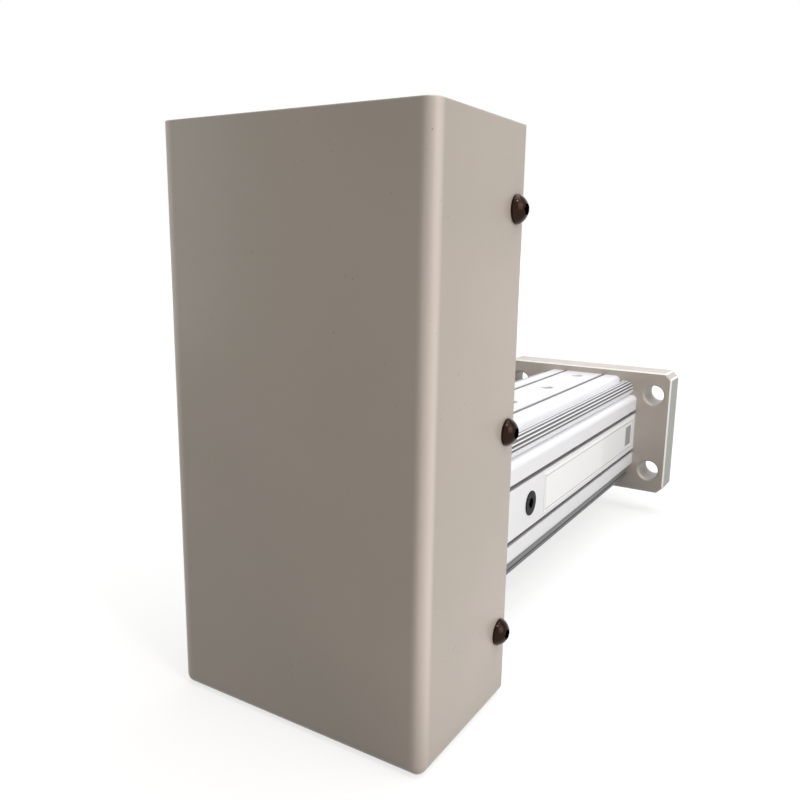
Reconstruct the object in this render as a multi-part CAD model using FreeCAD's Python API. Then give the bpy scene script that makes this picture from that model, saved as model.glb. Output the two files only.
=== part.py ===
import FreeCAD, Part
import math
import os
from collections import namedtuple

# Electric cylinder: a square tube with a ball screw, a push rod and a mounting flange in front, and a belt
# stage with its motor at the rear. Millimetres. X runs along the rod, towards its free end, and Z is up.
# The origin is on the rod's axis, in the front face of the flange.

Vector = FreeCAD.Vector
ORIGIN = Vector(0, 0, 0)
X_AXIS = Vector(1, 0, 0)
Y_AXIS = Vector(0, 1, 0)
Z_AXIS = Vector(0, 0, 1)
Screw = namedtuple("Screw", "thread head head_height socket")

# Standard socket screws
m3 = Screw(3.0, 5.5, 3.0, 2.5)
m4 = Screw(4.0, 7.0, 4.0, 3.0)
m5 = Screw(5.0, 8.5, 5.0, 4.0)
m6 = Screw(6.0, 10.0, 6.0, 5.0)
m8 = Screw(8.0, 13.0, 8.0, 6.0)

# Fits: radial gaps between round pieces, and room around screws
static_gap = 0.04
running_gap = 0.05
wear_gap = 0.1
sliding_gap = 0.3
screw_room = 0.5

# Square tube
tube_size = 75.0
tube_length = 259.0
tube_bore = 56.0
panel_inset = 12.5
panel_edge_radius = 3.0
port_inset = 10.3
port_drill = 6.8
port_thread_depth = 24.0
lobe_inset = 7.9
lobe_radius = 5.2
flute_count = 5
flute_step = 22.0
flute_radius = 0.7
groove_spacing = 27.6
groove_mouth = 2.6
groove_cavity = 5.2
groove_depth = 3.6
keyway_width = 8.0
keyway_depth = 2.5
keyway_turns = (45.0, 225.0)

# Threaded mounting holes in the top of the tube
top_hole_count = 4
top_hole_pitch = 56.0
top_hole_front = 17.0
top_hole_drill = 6.8
top_hole_depth = 7.5
top_hole_chamfer = 1.0

# Grease plug and label on the tube's right side
plug_thread = 10.0
plug_head = 12.4
plug_head_height = 3.0
plug_proud = 0.4
plug_socket = 5.0
label_gap = 18.0
label_end = 5.0
label_height = 21.0
label_thickness = 0.3

# Front flange
flange_thickness = 20.0
flange_overhang_side = 22.5
flange_overhang_top = 4.5
flange_corner_chamfer = 4.5
flange_edge_chamfer = 1.0
spigot_length = 24.0
mount_hole = 13.0
mount_hole_chamfer = 1.0
mount_hole_edge_side = 11.0
mount_hole_edge_top = 15.5
flange_screw_grip = 18.0

# Rod guide in the flange
bush_wall = 3.0
wiper_depth = 8.0
wiper_width = 5.0
wiper_lip = 4.0
wiper_lip_width = 1.2
cap_reach = 8.0
cap_sink = 1.0
cap_relief = 0.5
cap_land = 8.0
cap_chamfer = 1.0
cap_lip = 2.5
cap_rod_gap = 0.6
cap_screw_count = 4
cap_screw_grip = 9.0

# Push rod and its end
screw_to_rod = 1.1
rod_wall = 4.4
rod_reach = 12.0
rod_edge_chamfer = 0.8
rod_plug_depth = 25.0
rod_collar = 12.0
rod_collar_flats = 30.0
stud_diameter = 20.0
stud_core = 18.2
stud_length = 36.0
stud_chamfer = 1.0
rod_nut_flats = 30.0
rod_nut_height = 10.0

# Ball screw and nut
screw_diameter = 25.0
screw_lead = 10.0
track_ball = 4.8
track_gap = 0.2
track_centre = 0.5
balls_per_turn = 14
ball_turns = 2.5
screw_collar = 28.0
screw_collar_width = 6.0
track_start = 8.0
screw_front_room = 16.0
screw_tip = 16.0
screw_tip_length = 18.0
tip_bush_length = 10.0
tip_bush_start = 2.0
circlip_width = 1.2
circlip_depth = 0.8
circlip_rim = 2.5
circlip_mouth = 8.0
nut_flange_gap = 1.5
nut_ledge = 6.5
nut_flange_width = 10.0
nut_body_length = 36.0
nut_screw_count = 6
nut_screw_grip = 8.0

# Piston, which carries the nut
piston_web = 2.0
rod_socket_depth = 16.0
wear_ring_width = 8.0
wear_ring_depth = 2.0
wear_ring_inset = 10.0
guide_key_length = 16.0
guide_key_depth = 4.2
piston_gap = 2.0
magnet_width = 4.0
magnet_depth = 3.0
magnet_sink = 0.5

# End bumpers
bumper_thickness = 5.0
bumper_gap = 1.0
bumper_rest_gap = 2.0
bumper_rod_gap = 2.0

# Fixed bearing of the screw
cartridge_wall = 4.5
cartridge_flange_proud = 0.5
cartridge_flange_thickness = 7.0
cartridge_lip = 4.0
cartridge_lip_height = 6.5
bearing_bore = 20.0
bearing_width = 14.0
bearing_count = 2
bearing_ball = 7.6
bearing_ball_count = 11
race_gap = 0.1
race_land = 2.0
retainer_thickness = 5.0
retainer_screw_count = 4
retainer_screw_grip = 18.0
retainer_nut_gap = 1.5
lock_nut_wall = 6.0
lock_nut_width = 9.0
lock_nut_notch = 5.0
lock_nut_notch_depth = 2.0
lock_nut_notches = 4

# Drive plate and hood
plate_thickness = 15.0
plate_corner = 3.0
tube_screw_grip = 19.0
cover_width = 116.0
cover_wall = 2.0
cover_bend = 4.0
cover_top_edge = 0.6
cover_fit = 0.2
cover_top_room = 56.6
cover_end_room = 6.0
axis_height = 58.0
cover_screw_head = 10.8
cover_screw_rim = 0.8
cover_screw_dome = 3.6
cover_screw_socket = 4.0
cover_screw_socket_depth = 2.0
cover_screw_grip = 13.0
cover_screw_inset = 5.4
cover_screw_end = 30.0
cover_screw_rows = 3

# Belt stage
belt_pitch = 5.0
belt_teeth = 75
belt_width = 20.0
belt_land = 0.5
belt_back = 0.5
belt_tooth_height = 1.2
belt_tooth_root = 2.65
belt_tooth_tip = 1.8
belt_gap = 0.25
belt_side_gap = 0.5
driven_teeth = 40
drive_teeth = 20
pulley_standoff = 10.0
pulley_rim = 6.0
pulley_flange_width = 1.5
pulley_flange_lip = 2.0
driven_bore = 16.0
key_width = 5.0
key_length = 18.0
key_depth = 2.5
key_height = 2.2
key_room = 0.1
washer_diameter = 24.0
washer_thickness = 3.0
journal_short = 0.5
pulley_bolt_grip = 18.0
drive_hub_wall = 5.0
drive_hub_length = 8.0
set_screw_turns = (0.0, 90.0)

# Motor
motor_size = 60.0
motor_step = 1.0
motor_screw_edge = 5.25
motor_flange_thickness = 8.0
motor_pilot_inset = 5.0
motor_pilot_height = 3.0
motor_housing_length = 40.0
motor_wall = 4.5
motor_rib_count = 5
motor_rib_pitch = 6.0
motor_rib_width = 1.6
motor_rib_depth = 1.2
motor_scallop = 0.24
motor_cap_length = 12.0
motor_cap_edge = 1.0
motor_shaft = 14.0
motor_shaft_shoulder = 0.5
motor_front_bearing = 32.0
motor_front_bearing_width = 9.0
motor_rear_bearing = 26.0
motor_rear_bearing_width = 8.0
motor_rear_journal = 10.0
motor_seal_room = 1.5
stator_width = 30.0
stator_depth = 7.8
stator_slots = 9
stator_slot_width = 3.0
stator_slot_depth = 5.0
rotor_air_gap = 0.6
rotor_short = 1.0
end_cap_screw_turn = 25.0
end_cap_screw_grip = 6.0
motor_nut_flats = 8.0
motor_nut_height = 4.0
socket_pitch = 19.0
socket_base = 17.0
socket_base_height = 4.0
socket_diameter = 15.0
socket_height = 12.0
socket_recess = 11.0
socket_recess_depth = 11.0
socket_pin = 1.6
socket_pin_height = 5.0
socket_pin_circle = 6.0
socket_pin_count = 4

# Belt tensioner
tension_travel = 6.0
tension_block_width = 36.0
tension_block_height = 14.0
tension_block_thickness = 12.0
tension_block_drop = 15.0
tension_screw_spacing = 22.0
tension_screw_grip = 10.0
tension_head_flats = 10.0
tension_head_height = 4.0
tension_nut_height = 5.0

# Places along X
flange_rear_x = -flange_thickness
cap_rear_x = -cap_sink
spigot_rear_x = flange_rear_x - spigot_length
front_bumper_x = spigot_rear_x - bumper_thickness
tube_front_x = flange_rear_x
tube_rear_x = tube_front_x - tube_length
plate_front_x = tube_rear_x
plate_rear_x = plate_front_x - plate_thickness
bearing_rear_x = plate_rear_x
bearing_front_x = bearing_rear_x + bearing_count * bearing_width
cartridge_front_x = bearing_front_x + cartridge_lip
rear_bumper_x = cartridge_front_x + bumper_thickness
retainer_rear_x = plate_rear_x - retainer_thickness
pulley_front_x = plate_rear_x - pulley_standoff
pulley_width = belt_width + 2 * (belt_side_gap + pulley_flange_width)
pulley_rear_x = pulley_front_x - pulley_width
washer_rear_x = pulley_rear_x - washer_thickness
cover_inner_x = washer_rear_x - m6.head_height - cover_end_room
cover_rear_x = cover_inner_x - cover_wall
nut_rear_x = rear_bumper_x + bumper_rest_gap
piston_rear_x = nut_rear_x + nut_flange_width
nut_front_x = piston_rear_x + nut_body_length
rod_rear_x = nut_front_x + piston_web
piston_front_x = rod_rear_x + rod_socket_depth
collar_front_x = bearing_front_x + screw_collar_width
screw_shoulder_x = spigot_rear_x - screw_front_room
tip_bush_x = screw_shoulder_x + tip_bush_start
circlip_x = tip_bush_x + tip_bush_length
screw_front_x = screw_shoulder_x + screw_tip_length
stud_rear_x = rod_reach + rod_collar
stud_front_x = stud_rear_x + stud_length
motor_front_x = plate_front_x
housing_front_x = motor_front_x + motor_flange_thickness
housing_rear_x = housing_front_x + motor_housing_length
motor_rear_x = housing_rear_x + motor_cap_length

# Radii and half sizes
tube_half = tube_size / 2
panel_half = tube_half - panel_inset
port_offset = tube_half - port_inset
lobe_offset = tube_half - lobe_inset
bore_radius = tube_bore / 2
screw_radius = screw_diameter / 2
rod_bore_radius = screw_radius + screw_to_rod
rod_radius = rod_bore_radius + rod_wall
bush_radius = rod_radius + bush_wall
wiper_radius = rod_radius + wiper_width
cap_radius = wiper_radius + cap_land
cap_screw_circle = wiper_radius + cap_land / 2
piston_radius = bore_radius - sliding_gap
nut_flange_radius = bore_radius - nut_flange_gap
nut_body_radius = nut_flange_radius - nut_ledge
nut_screw_circle = nut_flange_radius - nut_ledge / 2
barrel_radius = bore_radius - static_gap
cartridge_flange_radius = tube_half + cartridge_flange_proud
retainer_screw_circle = (bore_radius + cartridge_flange_radius) / 2
bearing_seat_radius = bore_radius - cartridge_wall
bearing_pitch_radius = (bearing_seat_radius + bearing_bore / 2) / 2
lip_radius = bearing_seat_radius - cartridge_lip_height
lock_nut_radius = bearing_bore / 2 + lock_nut_wall
track_radius = screw_radius + track_centre
flange_half_y = tube_half + flange_overhang_side
flange_half_z = tube_half + flange_overhang_top
mount_hole_y = flange_half_y - mount_hole_edge_side
mount_hole_z = flange_half_z - mount_hole_edge_top
motor_pilot = motor_size / 2 - motor_pilot_inset
plug_x = tube_front_x - top_hole_front - (top_hole_count - 1) * top_hole_pitch

# Belt geometry: the centre distance is the one at which the belt is just taut
belt_length = belt_teeth * belt_pitch
driven_radius = driven_teeth * belt_pitch / (2 * math.pi)
drive_radius = drive_teeth * belt_pitch / (2 * math.pi)


def taut_length(distance):
    """Length of the pitch line round both pulleys at a centre distance."""
    lean = math.asin((driven_radius - drive_radius) / distance)
    spans = 2 * distance * math.cos(lean)
    wraps = driven_radius * (math.pi + 2 * lean) + drive_radius * (math.pi - 2 * lean)
    return spans + wraps


def taut_distance():
    """Centre distance that uses up the whole belt, by halving an interval."""
    low = driven_radius + drive_radius
    high = belt_length / 2
    for _ in range(60):
        middle = (low + high) / 2
        if taut_length(middle) < belt_length:
            low = middle
        else:
            high = middle
    return low


motor_z = taut_distance()
belt_lean = math.asin((driven_radius - drive_radius) / motor_z)
cover_bottom_z = -axis_height
cover_top_z = motor_z + cover_top_room
cover_half = cover_width / 2
plate_half = cover_half - cover_wall - cover_fit
plate_bottom_z = cover_bottom_z + cover_wall + cover_fit
plate_top_z = cover_top_z - cover_wall - cover_fit
motor_bottom_z = motor_z - motor_size / 2
tension_top_z = motor_bottom_z - tension_block_drop
tension_bottom_z = tension_top_z - tension_block_height


def block(x_span, y_span, z_span):
    """Box between two values on each axis."""
    corner = Vector(x_span[0], y_span[0], z_span[0])
    sides = [span[1] - span[0] for span in (x_span, y_span, z_span)]
    return Part.makeBox(sides[0], sides[1], sides[2], corner)


def bar(x_span, radius, y=0.0, z=0.0):
    """Round bar along X."""
    return Part.makeCylinder(radius, x_span[1] - x_span[0], Vector(x_span[0], y, z), X_AXIS)


def ring(x_span, outer, inner, z=0.0):
    """Plain ring along X."""
    return bar(x_span, outer, 0.0, z).cut(bar(x_span, inner, 0.0, z))


def turned(profile, z=0.0):
    """Solid turned about an axis along X, from (x, radius) points."""
    points = [Vector(x, 0, radius) for x, radius in profile]
    solid = Part.Face(Part.makePolygon(points + points[:1])).revolve(ORIGIN, X_AXIS, 360)
    solid.translate(Vector(0, 0, z))
    return solid


def prism(points, x_span):
    """Prism along X over a closed outline of (y, z) points."""
    corners = [Vector(x_span[0], y, z) for y, z in points]
    face = Part.Face(Part.makePolygon(corners + corners[:1]))
    return face.extrude(Vector(x_span[1] - x_span[0], 0, 0))


def hexagon(x_span, flats, y=0.0, z=0.0):
    """Hexagonal bar along X."""
    corner = flats / math.sqrt(3)
    turns = [math.radians(60 * k) for k in range(6)]
    return prism([(y + corner * math.cos(a), z + corner * math.sin(a)) for a in turns], x_span)


def obround(x_span, radius, y, z, travel):
    """Slot-shaped bar along X, lengthened by travel along Z."""
    ends = [bar(x_span, radius, y, z + shift) for shift in (-travel / 2, travel / 2)]
    middle = block(x_span, (y - radius, y + radius), (z - travel / 2, z + travel / 2))
    return middle.fuse(ends)


def turn_x(shape, degrees):
    """Copy of a shape, turned about the rod's axis."""
    copy = shape.copy()
    copy.rotate(ORIGIN, X_AXIS, degrees)
    return copy


def placed(shape, base, direction=X_AXIS):
    """Copy of a shape with its own +X turned to a direction and its origin moved to a point."""
    copy = shape.copy()
    copy.Placement = FreeCAD.Placement(base, FreeCAD.Rotation(X_AXIS, direction))
    return copy


def corners(y, z):
    """The four (y, z) corners of a rectangle about the rod's axis."""
    return [(y, z), (-y, z), (-y, -z), (y, -z)]


def circle(radius, count, start=0.0):
    """(y, z) points spread evenly round the rod's axis."""
    turns = [math.radians(start) + 2 * math.pi * k / count for k in range(count)]
    return [(radius * math.cos(a), radius * math.sin(a)) for a in turns]


def runs_along_x(edge):
    """Whether an edge is parallel to X."""
    return all(abs(v.Y - edge.Vertexes[0].Y) + abs(v.Z - edge.Vertexes[0].Z) < 1e-6 for v in edge.Vertexes)


def lies_at(edge, axis, value):
    """Whether both ends of an edge have one value on an axis."""
    return all(abs(v.Point[axis] - value) < 1e-6 for v in edge.Vertexes)


def cap_screw(size, grip):
    """Socket-head screw along +X, with the seat of its head at the origin."""
    head = bar((-size.head_height, 0), size.head / 2)
    shank = bar((0, grip), size.thread / 2)
    socket = hexagon((-size.head_height, -size.head_height / 2), size.socket)
    return head.fuse(shank).cut(socket)


def flat_screw(size, grip):
    """Countersunk screw along +X, with the top of its head at the origin."""
    cone = Part.makeCone(size.head / 2, size.thread / 2, (size.head - size.thread) / 2, ORIGIN, X_AXIS)
    socket = hexagon((0, size.thread / 4), size.socket / 2)
    return cone.fuse(bar((0, grip), size.thread / 2)).cut(socket)


def tapped(x_span, size, y, z):
    """Cutter of a threaded hole along X."""
    return bar(x_span, size.thread / 2 + static_gap, y, z)


def counterbored(seat_x, front_x, open_x, size, y, z):
    """Cutters of a clearance hole along X, with its counterbore from the seat to the open side."""
    through = bar(sorted((seat_x, front_x)), (size.thread + screw_room) / 2, y, z)
    sink = bar(sorted((seat_x, open_x)), (size.head + screw_room) / 2, y, z)
    return [through, sink]


def cylinder_tube():
    """Square extrusion with a keyed bore, fluted corner lobes over its ports, and sensor grooves."""
    span = (tube_rear_x, tube_front_x)
    upright = block(span, (-panel_half, panel_half), (-tube_half, tube_half))
    level = block(span, (-tube_half, tube_half), (-panel_half, panel_half))
    cross = upright.fuse(level).removeSplitter()
    rims = [edge for edge in cross.Edges if runs_along_x(edge) and is_panel_rim(edge.Vertexes[0].Point)]
    core = block(span, (-lobe_offset, lobe_offset), (-lobe_offset, lobe_offset))
    lobes = [bar(span, lobe_radius, y, z) for y, z in corners(lobe_offset, lobe_offset)]
    solid = cross.makeFillet(panel_edge_radius, rims).fuse([core] + lobes).removeSplitter()
    cuts = [bar(span, bore_radius)]
    key = block(span, (-keyway_width / 2, keyway_width / 2), (0, bore_radius + keyway_depth))
    cuts += [turn_x(key, turn) for turn in keyway_turns]
    for y, z in corners(port_offset, port_offset):
        cuts.append(bar(span, port_drill / 2, y, z))
        cuts.append(tapped((tube_front_x - port_thread_depth, tube_front_x), m8, y, z))
        cuts.append(tapped((tube_rear_x, tube_rear_x + port_thread_depth), m8, y, z))
    for y, z in corners(lobe_offset, lobe_offset):
        cuts += lobe_flutes(span, y, z)
    for side in range(4):
        cuts += [turn_x(groove, 90 * side) for groove in sensor_grooves(span)]
    cuts += plug_hole() + [top_hole(k) for k in range(top_hole_count)]
    return solid.cut(cuts)


def is_panel_rim(point):
    """Whether a point lies on an outer edge of one of the four flat panels."""
    near, far = sorted((abs(point.y), abs(point.z)))
    return abs(near - panel_half) < 1e-6 and abs(far - tube_half) < 1e-6


def lobe_flutes(span, y, z):
    """Round flutes fanned over the outside of one corner lobe."""
    outward = math.atan2(z, y)
    first = -flute_step * (flute_count - 1) / 2
    turns = [outward + math.radians(first + flute_step * k) for k in range(flute_count)]
    places = [(y + lobe_radius * math.cos(a), z + lobe_radius * math.sin(a)) for a in turns]
    return [bar(span, flute_radius, *place) for place in places]


def sensor_grooves(span):
    """The two keyhole grooves of the top panel."""
    grooves = []
    for y in (-groove_spacing / 2, groove_spacing / 2):
        mouth = (y - groove_mouth / 2, y + groove_mouth / 2)
        grooves.append(block(span, mouth, (tube_half - groove_depth, tube_half)))
        grooves.append(bar(span, groove_cavity / 2, y, tube_half - groove_depth))
    return grooves


def top_hole(index):
    """Threaded hole in the top panel, counted from the front."""
    x = tube_front_x - top_hole_front - index * top_hole_pitch
    radius = top_hole_drill / 2
    drill = Part.makeCylinder(radius, top_hole_depth, Vector(x, 0, tube_half - top_hole_depth), Z_AXIS)
    mouth = Vector(x, 0, tube_half - top_hole_chamfer)
    return drill.fuse(Part.makeCone(radius, radius + top_hole_chamfer, top_hole_chamfer, mouth, Z_AXIS))


def plug_hole():
    """Cutters of the grease plug's hole, through the tube's right wall."""
    face = Vector(plug_x, -tube_half, 0)
    through = Part.makeCylinder(plug_thread / 2 + static_gap, tube_half, face, Y_AXIS)
    sink = Part.makeCylinder(plug_head / 2 + static_gap, plug_head_height, face, Y_AXIS)
    return [through, sink]


def lube_plug():
    """Hex-socket plug that stands a little proud of the tube's side."""
    wall = tube_half - bore_radius
    head = bar((-plug_proud, plug_head_height), plug_head / 2)
    shank = bar((plug_head_height, wall - bumper_gap), plug_thread / 2)
    socket = hexagon((-plug_proud, plug_head_height), plug_socket)
    return placed(head.fuse(shank).cut(socket), Vector(plug_x, -tube_half, 0), Y_AXIS)


def side_label():
    """Blank label between the grooves of the tube's right side."""
    span = (plug_x + label_gap, tube_front_x - label_end)
    half = label_height / 2
    return block(span, (-tube_half - label_thickness, -tube_half), (-half, half))


def front_flange():
    """Mounting plate with a spigot in the tube's bore and the rod's guide in its centre."""
    plate = block((flange_rear_x, 0), (-flange_half_y, flange_half_y), (-flange_half_z, flange_half_z))
    plate = plate.makeChamfer(flange_corner_chamfer, [e for e in plate.Edges if runs_along_x(e)])
    rims = [e for e in plate.Edges if lies_at(e, 0, 0.0) or lies_at(e, 0, flange_rear_x)]
    spigot = bar((spigot_rear_x, flange_rear_x), barrel_radius)
    solid = plate.makeChamfer(flange_edge_chamfer, rims).fuse(spigot)
    cuts = [bar((spigot_rear_x, 0), bush_radius + static_gap)]
    cuts.append(bar((-wiper_depth, cap_rear_x), wiper_radius + static_gap))
    cuts.append(bar((cap_rear_x, 0), cap_radius + wear_gap))
    for y, z in corners(mount_hole_y, mount_hole_z):
        cuts += mount_hole_cuts(y, z)
    head_x = -m8.head_height - screw_room
    for y, z in corners(port_offset, port_offset):
        cuts += counterbored(head_x, flange_rear_x, 0, m8, y, z)
    thread_span = (-cap_screw_grip, cap_rear_x)
    cuts += [tapped(thread_span, m4, y, z) for y, z in circle(cap_screw_circle, cap_screw_count)]
    return solid.cut(cuts)


def mount_hole_cuts(y, z):
    """Cutters of a flange bolt hole, chamfered on the rear face."""
    radius = mount_hole / 2
    hole = bar((flange_rear_x, 0), radius, y, z)
    rim = Vector(flange_rear_x, y, z)
    return [hole, Part.makeCone(radius + mount_hole_chamfer, radius, mount_hole_chamfer, rim, X_AXIS)]


def flange_screws():
    """Screws from the flange into the tube's ports."""
    seat_x = -m8.head_height - screw_room
    screw = cap_screw(m8, seat_x - flange_rear_x + flange_screw_grip)
    return [placed(screw, Vector(seat_x, y, z), -X_AXIS) for y, z in corners(port_offset, port_offset)]


def rod_bush():
    """Plain bush that guides the rod."""
    return ring((spigot_rear_x, -wiper_depth), bush_radius, rod_radius + running_gap)


def rod_wiper():
    """Wiper ring, with a lip that follows the rod into the cap."""
    inner = rod_radius + running_gap
    lip = inner + wiper_lip_width
    profile = [(-wiper_depth, inner), (-wiper_depth, wiper_radius), (cap_rear_x, wiper_radius)]
    return turned(profile + [(cap_rear_x, lip), (wiper_lip, lip), (wiper_lip, inner)])


def gland_cap():
    """Round cap that holds the wiper and centres the flange in a machine, with a relief behind its rim."""
    lip = rod_radius + cap_lip
    hole = rod_radius + cap_rod_gap
    step = cap_reach - cap_lip
    edge = cap_radius - cap_chamfer
    relief = cap_radius - cap_relief
    profile = [(cap_rear_x, lip), (cap_rear_x, relief), (0, relief), (0, cap_radius)]
    profile += [(cap_reach - cap_chamfer, cap_radius), (cap_reach, edge), (cap_reach, hole)]
    solid = turned(profile + [(step, hole), (step, lip)])
    seat_x = cap_reach - m4.head_height - screw_room
    cuts = []
    for y, z in circle(cap_screw_circle, cap_screw_count):
        cuts += counterbored(seat_x, cap_rear_x, cap_reach, m4, y, z)
    return solid.cut(cuts)


def gland_cap_screws():
    """Screws of the cap."""
    seat_x = cap_reach - m4.head_height - screw_room
    screw = cap_screw(m4, seat_x + cap_screw_grip - screw_room)
    places = circle(cap_screw_circle, cap_screw_count)
    return [placed(screw, Vector(seat_x, y, z), -X_AXIS) for y, z in places]


def front_bumper():
    """Ring that stops the piston at full stroke."""
    return ring((front_bumper_x, spigot_rear_x), bore_radius - bumper_gap, rod_radius + bumper_rod_gap)


def rear_bumper():
    """Ring that stops the nut at the retracted end."""
    return ring((cartridge_front_x, rear_bumper_x), bore_radius - bumper_gap, lip_radius + bumper_gap)


def drive_plate():
    """Plate that joins tube, screw bearing, motor and hood."""
    span = (plate_rear_x, plate_front_x)
    plate = block(span, (-plate_half, plate_half), (plate_bottom_z, plate_top_z))
    plate = plate.makeFillet(plate_corner, [e for e in plate.Edges if runs_along_x(e)])
    recess_x = plate_rear_x + cartridge_flange_thickness
    cuts = [bar(span, bore_radius), bar((plate_rear_x, recess_x), cartridge_flange_radius + static_gap)]
    for y, z in corners(port_offset, port_offset):
        cuts += counterbored(tube_screw_seat_x, plate_front_x, plate_rear_x, m8, y, z)
    thread_end = retainer_rear_x + retainer_screw_grip + screw_room
    for y, z in circle(retainer_screw_circle, retainer_screw_count):
        cuts.append(tapped((recess_x, thread_end), m5, y, z))
    cuts.append(obround(span, motor_pilot + static_gap, 0, motor_z, tension_travel))
    for y, z in motor_screw_places():
        cuts.append(obround(span, (m5.thread + screw_room) / 2, y, z, tension_travel))
    for y, z in tension_screw_places():
        cuts.append(tapped((plate_front_x - tension_screw_grip, plate_front_x), m5, y, z))
    for base, direction in cover_screw_places():
        radius = m6.thread / 2 + static_gap
        cuts.append(Part.makeCylinder(radius, cover_screw_grip + screw_room, base, direction))
    return plate.cut(cuts)


tube_screw_seat_x = plate_rear_x + m8.head_height + screw_room


def tube_screws():
    """Screws from the drive plate into the tube's ports."""
    screw = cap_screw(m8, plate_front_x - tube_screw_seat_x + tube_screw_grip)
    return [placed(screw, Vector(tube_screw_seat_x, y, z)) for y, z in corners(port_offset, port_offset)]


def motor_screw_places():
    """(y, z) of the motor's screws."""
    half = motor_size / 2 - motor_screw_edge
    return [(y, motor_z + z) for y, z in corners(half, half)]


def tension_screw_places():
    """(y, z) of the screws of the tension block."""
    height = (tension_top_z + tension_bottom_z) / 2
    return [(y, height) for y in (-tension_screw_spacing / 2, tension_screw_spacing / 2)]


def cover_screw_places():
    """Seats of the hood's screws on both sides, each with the direction that the screw points."""
    x = plate_front_x - cover_screw_inset
    low = cover_bottom_z + cover_screw_end
    step = (cover_top_z - cover_bottom_z - 2 * cover_screw_end) / (cover_screw_rows - 1)
    heights = [low + step * row for row in range(cover_screw_rows)]
    right = [(Vector(x, -cover_half, z), Y_AXIS) for z in heights]
    left = [(Vector(x, cover_half, z), -Y_AXIS) for z in heights]
    return right + left


def belt_cover():
    """Folded hood, open towards the drive plate, with round bends and a crisp top."""
    shell = hood_block(0.0, cover_bend).cut(hood_block(cover_wall, cover_bend - cover_wall))
    radius = (m6.thread + screw_room) / 2
    holes = [Part.makeCylinder(radius, 2 * cover_wall, base, way) for base, way in cover_screw_places()]
    return shell.cut(holes)


def hood_block(inset, bend):
    """The hood's outer or inner form: a block with its rear uprights and its bottom bent round."""
    half = cover_half - inset
    back = cover_rear_x + inset
    low = cover_bottom_z + inset
    top = cover_top_z - inset
    solid = block((back, plate_front_x), (-half, half), (low, top))
    rear = [e for e in solid.Edges if lies_at(e, 0, back)]
    uprights = [e for e in rear if lies_at(e, 1, half) or lies_at(e, 1, -half)]
    skirt = [e for e in solid.Edges if lies_at(e, 2, low) and not lies_at(e, 0, plate_front_x)]
    solid = solid.makeFillet(bend, uprights + skirt)
    rim = [e for e in solid.Edges if lies_at(e, 2, top) and not lies_at(e, 0, plate_front_x)]
    return solid.makeFillet(cover_top_edge, rim)


def cover_screws():
    """Domed screws of the hood."""
    radius = cover_screw_head / 2
    ball = (radius ** 2 + cover_screw_dome ** 2) / (2 * cover_screw_dome)
    centre = Vector(-cover_screw_rim - cover_screw_dome + ball, 0, 0)
    height = cover_screw_rim + cover_screw_dome
    dome = Part.makeSphere(ball, centre).common(bar((-height, 0), radius))
    socket = hexagon((-height, cover_screw_socket_depth - height), cover_screw_socket)
    screw = dome.fuse(bar((0, cover_screw_grip), m6.thread / 2)).cut(socket)
    return [placed(screw, base, direction) for base, direction in cover_screw_places()]


def bearing_cartridge():
    """Flanged housing of the screw's bearings, notched for the heads of the tube's screws."""
    step_x = plate_rear_x + cartridge_flange_thickness
    seat = bearing_seat_radius + static_gap
    flange = cartridge_flange_radius
    profile = [(plate_rear_x, seat), (plate_rear_x, flange), (step_x, flange)]
    profile += [(step_x, barrel_radius), (cartridge_front_x, barrel_radius), (cartridge_front_x, lip_radius)]
    solid = turned(profile + [(bearing_front_x, lip_radius), (bearing_front_x, seat)])
    span = (plate_rear_x, step_x)
    notch = m8.head / 2 + screw_room
    cuts = [bar(span, notch, y, z) for y, z in corners(port_offset, port_offset)]
    screws = circle(retainer_screw_circle, retainer_screw_count)
    cuts += [bar(span, (m5.thread + screw_room) / 2, y, z) for y, z in screws]
    return solid.cut(cuts)


def bearing_spans():
    """X span of each bearing."""
    starts = [bearing_rear_x + bearing_width * k for k in range(bearing_count)]
    return [(start, start + bearing_width) for start in starts]


def raceway(span):
    """Ring-shaped cutter that the balls of one bearing run in."""
    middle = Vector((span[0] + span[1]) / 2, 0, 0)
    return Part.makeTorus(bearing_pitch_radius, bearing_ball / 2 + race_gap, middle, X_AXIS)


def bearing_outer_rings():
    """Outer rings, fixed in the cartridge."""
    land = bearing_pitch_radius + race_land
    return [ring(span, bearing_seat_radius, land).cut(raceway(span)) for span in bearing_spans()]


def bearing_inner_rings():
    """Inner rings, which turn with the screw."""
    land = bearing_pitch_radius - race_land
    seat = bearing_bore / 2 + static_gap
    return [ring(span, land, seat).cut(raceway(span)) for span in bearing_spans()]


def bearing_balls():
    """Balls of the bearings."""
    places = circle(bearing_pitch_radius, bearing_ball_count)
    middles = [(span[0] + span[1]) / 2 for span in bearing_spans()]
    return [Part.makeSphere(bearing_ball / 2, Vector(x, y, z)) for x in middles for y, z in places]


def bearing_retainer():
    """Ring that clamps the outer rings into the cartridge."""
    solid = ring((retainer_rear_x, plate_rear_x), cartridge_flange_radius, lock_nut_radius + retainer_nut_gap)
    cuts = []
    wide = (m5.head + screw_room) / 2
    narrow = (m5.thread + screw_room) / 2
    for y, z in circle(retainer_screw_circle, retainer_screw_count):
        cuts.append(bar((retainer_rear_x, plate_rear_x), narrow, y, z))
        base = Vector(retainer_rear_x, y, z)
        cuts.append(Part.makeCone(wide, narrow, wide - narrow, base, X_AXIS))
    return solid.cut(cuts)


def retainer_screws():
    """Countersunk screws through retainer and cartridge into the drive plate."""
    screw = flat_screw(m5, retainer_screw_grip)
    places = circle(retainer_screw_circle, retainer_screw_count)
    return [placed(screw, Vector(retainer_rear_x, y, z)) for y, z in places]


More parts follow.
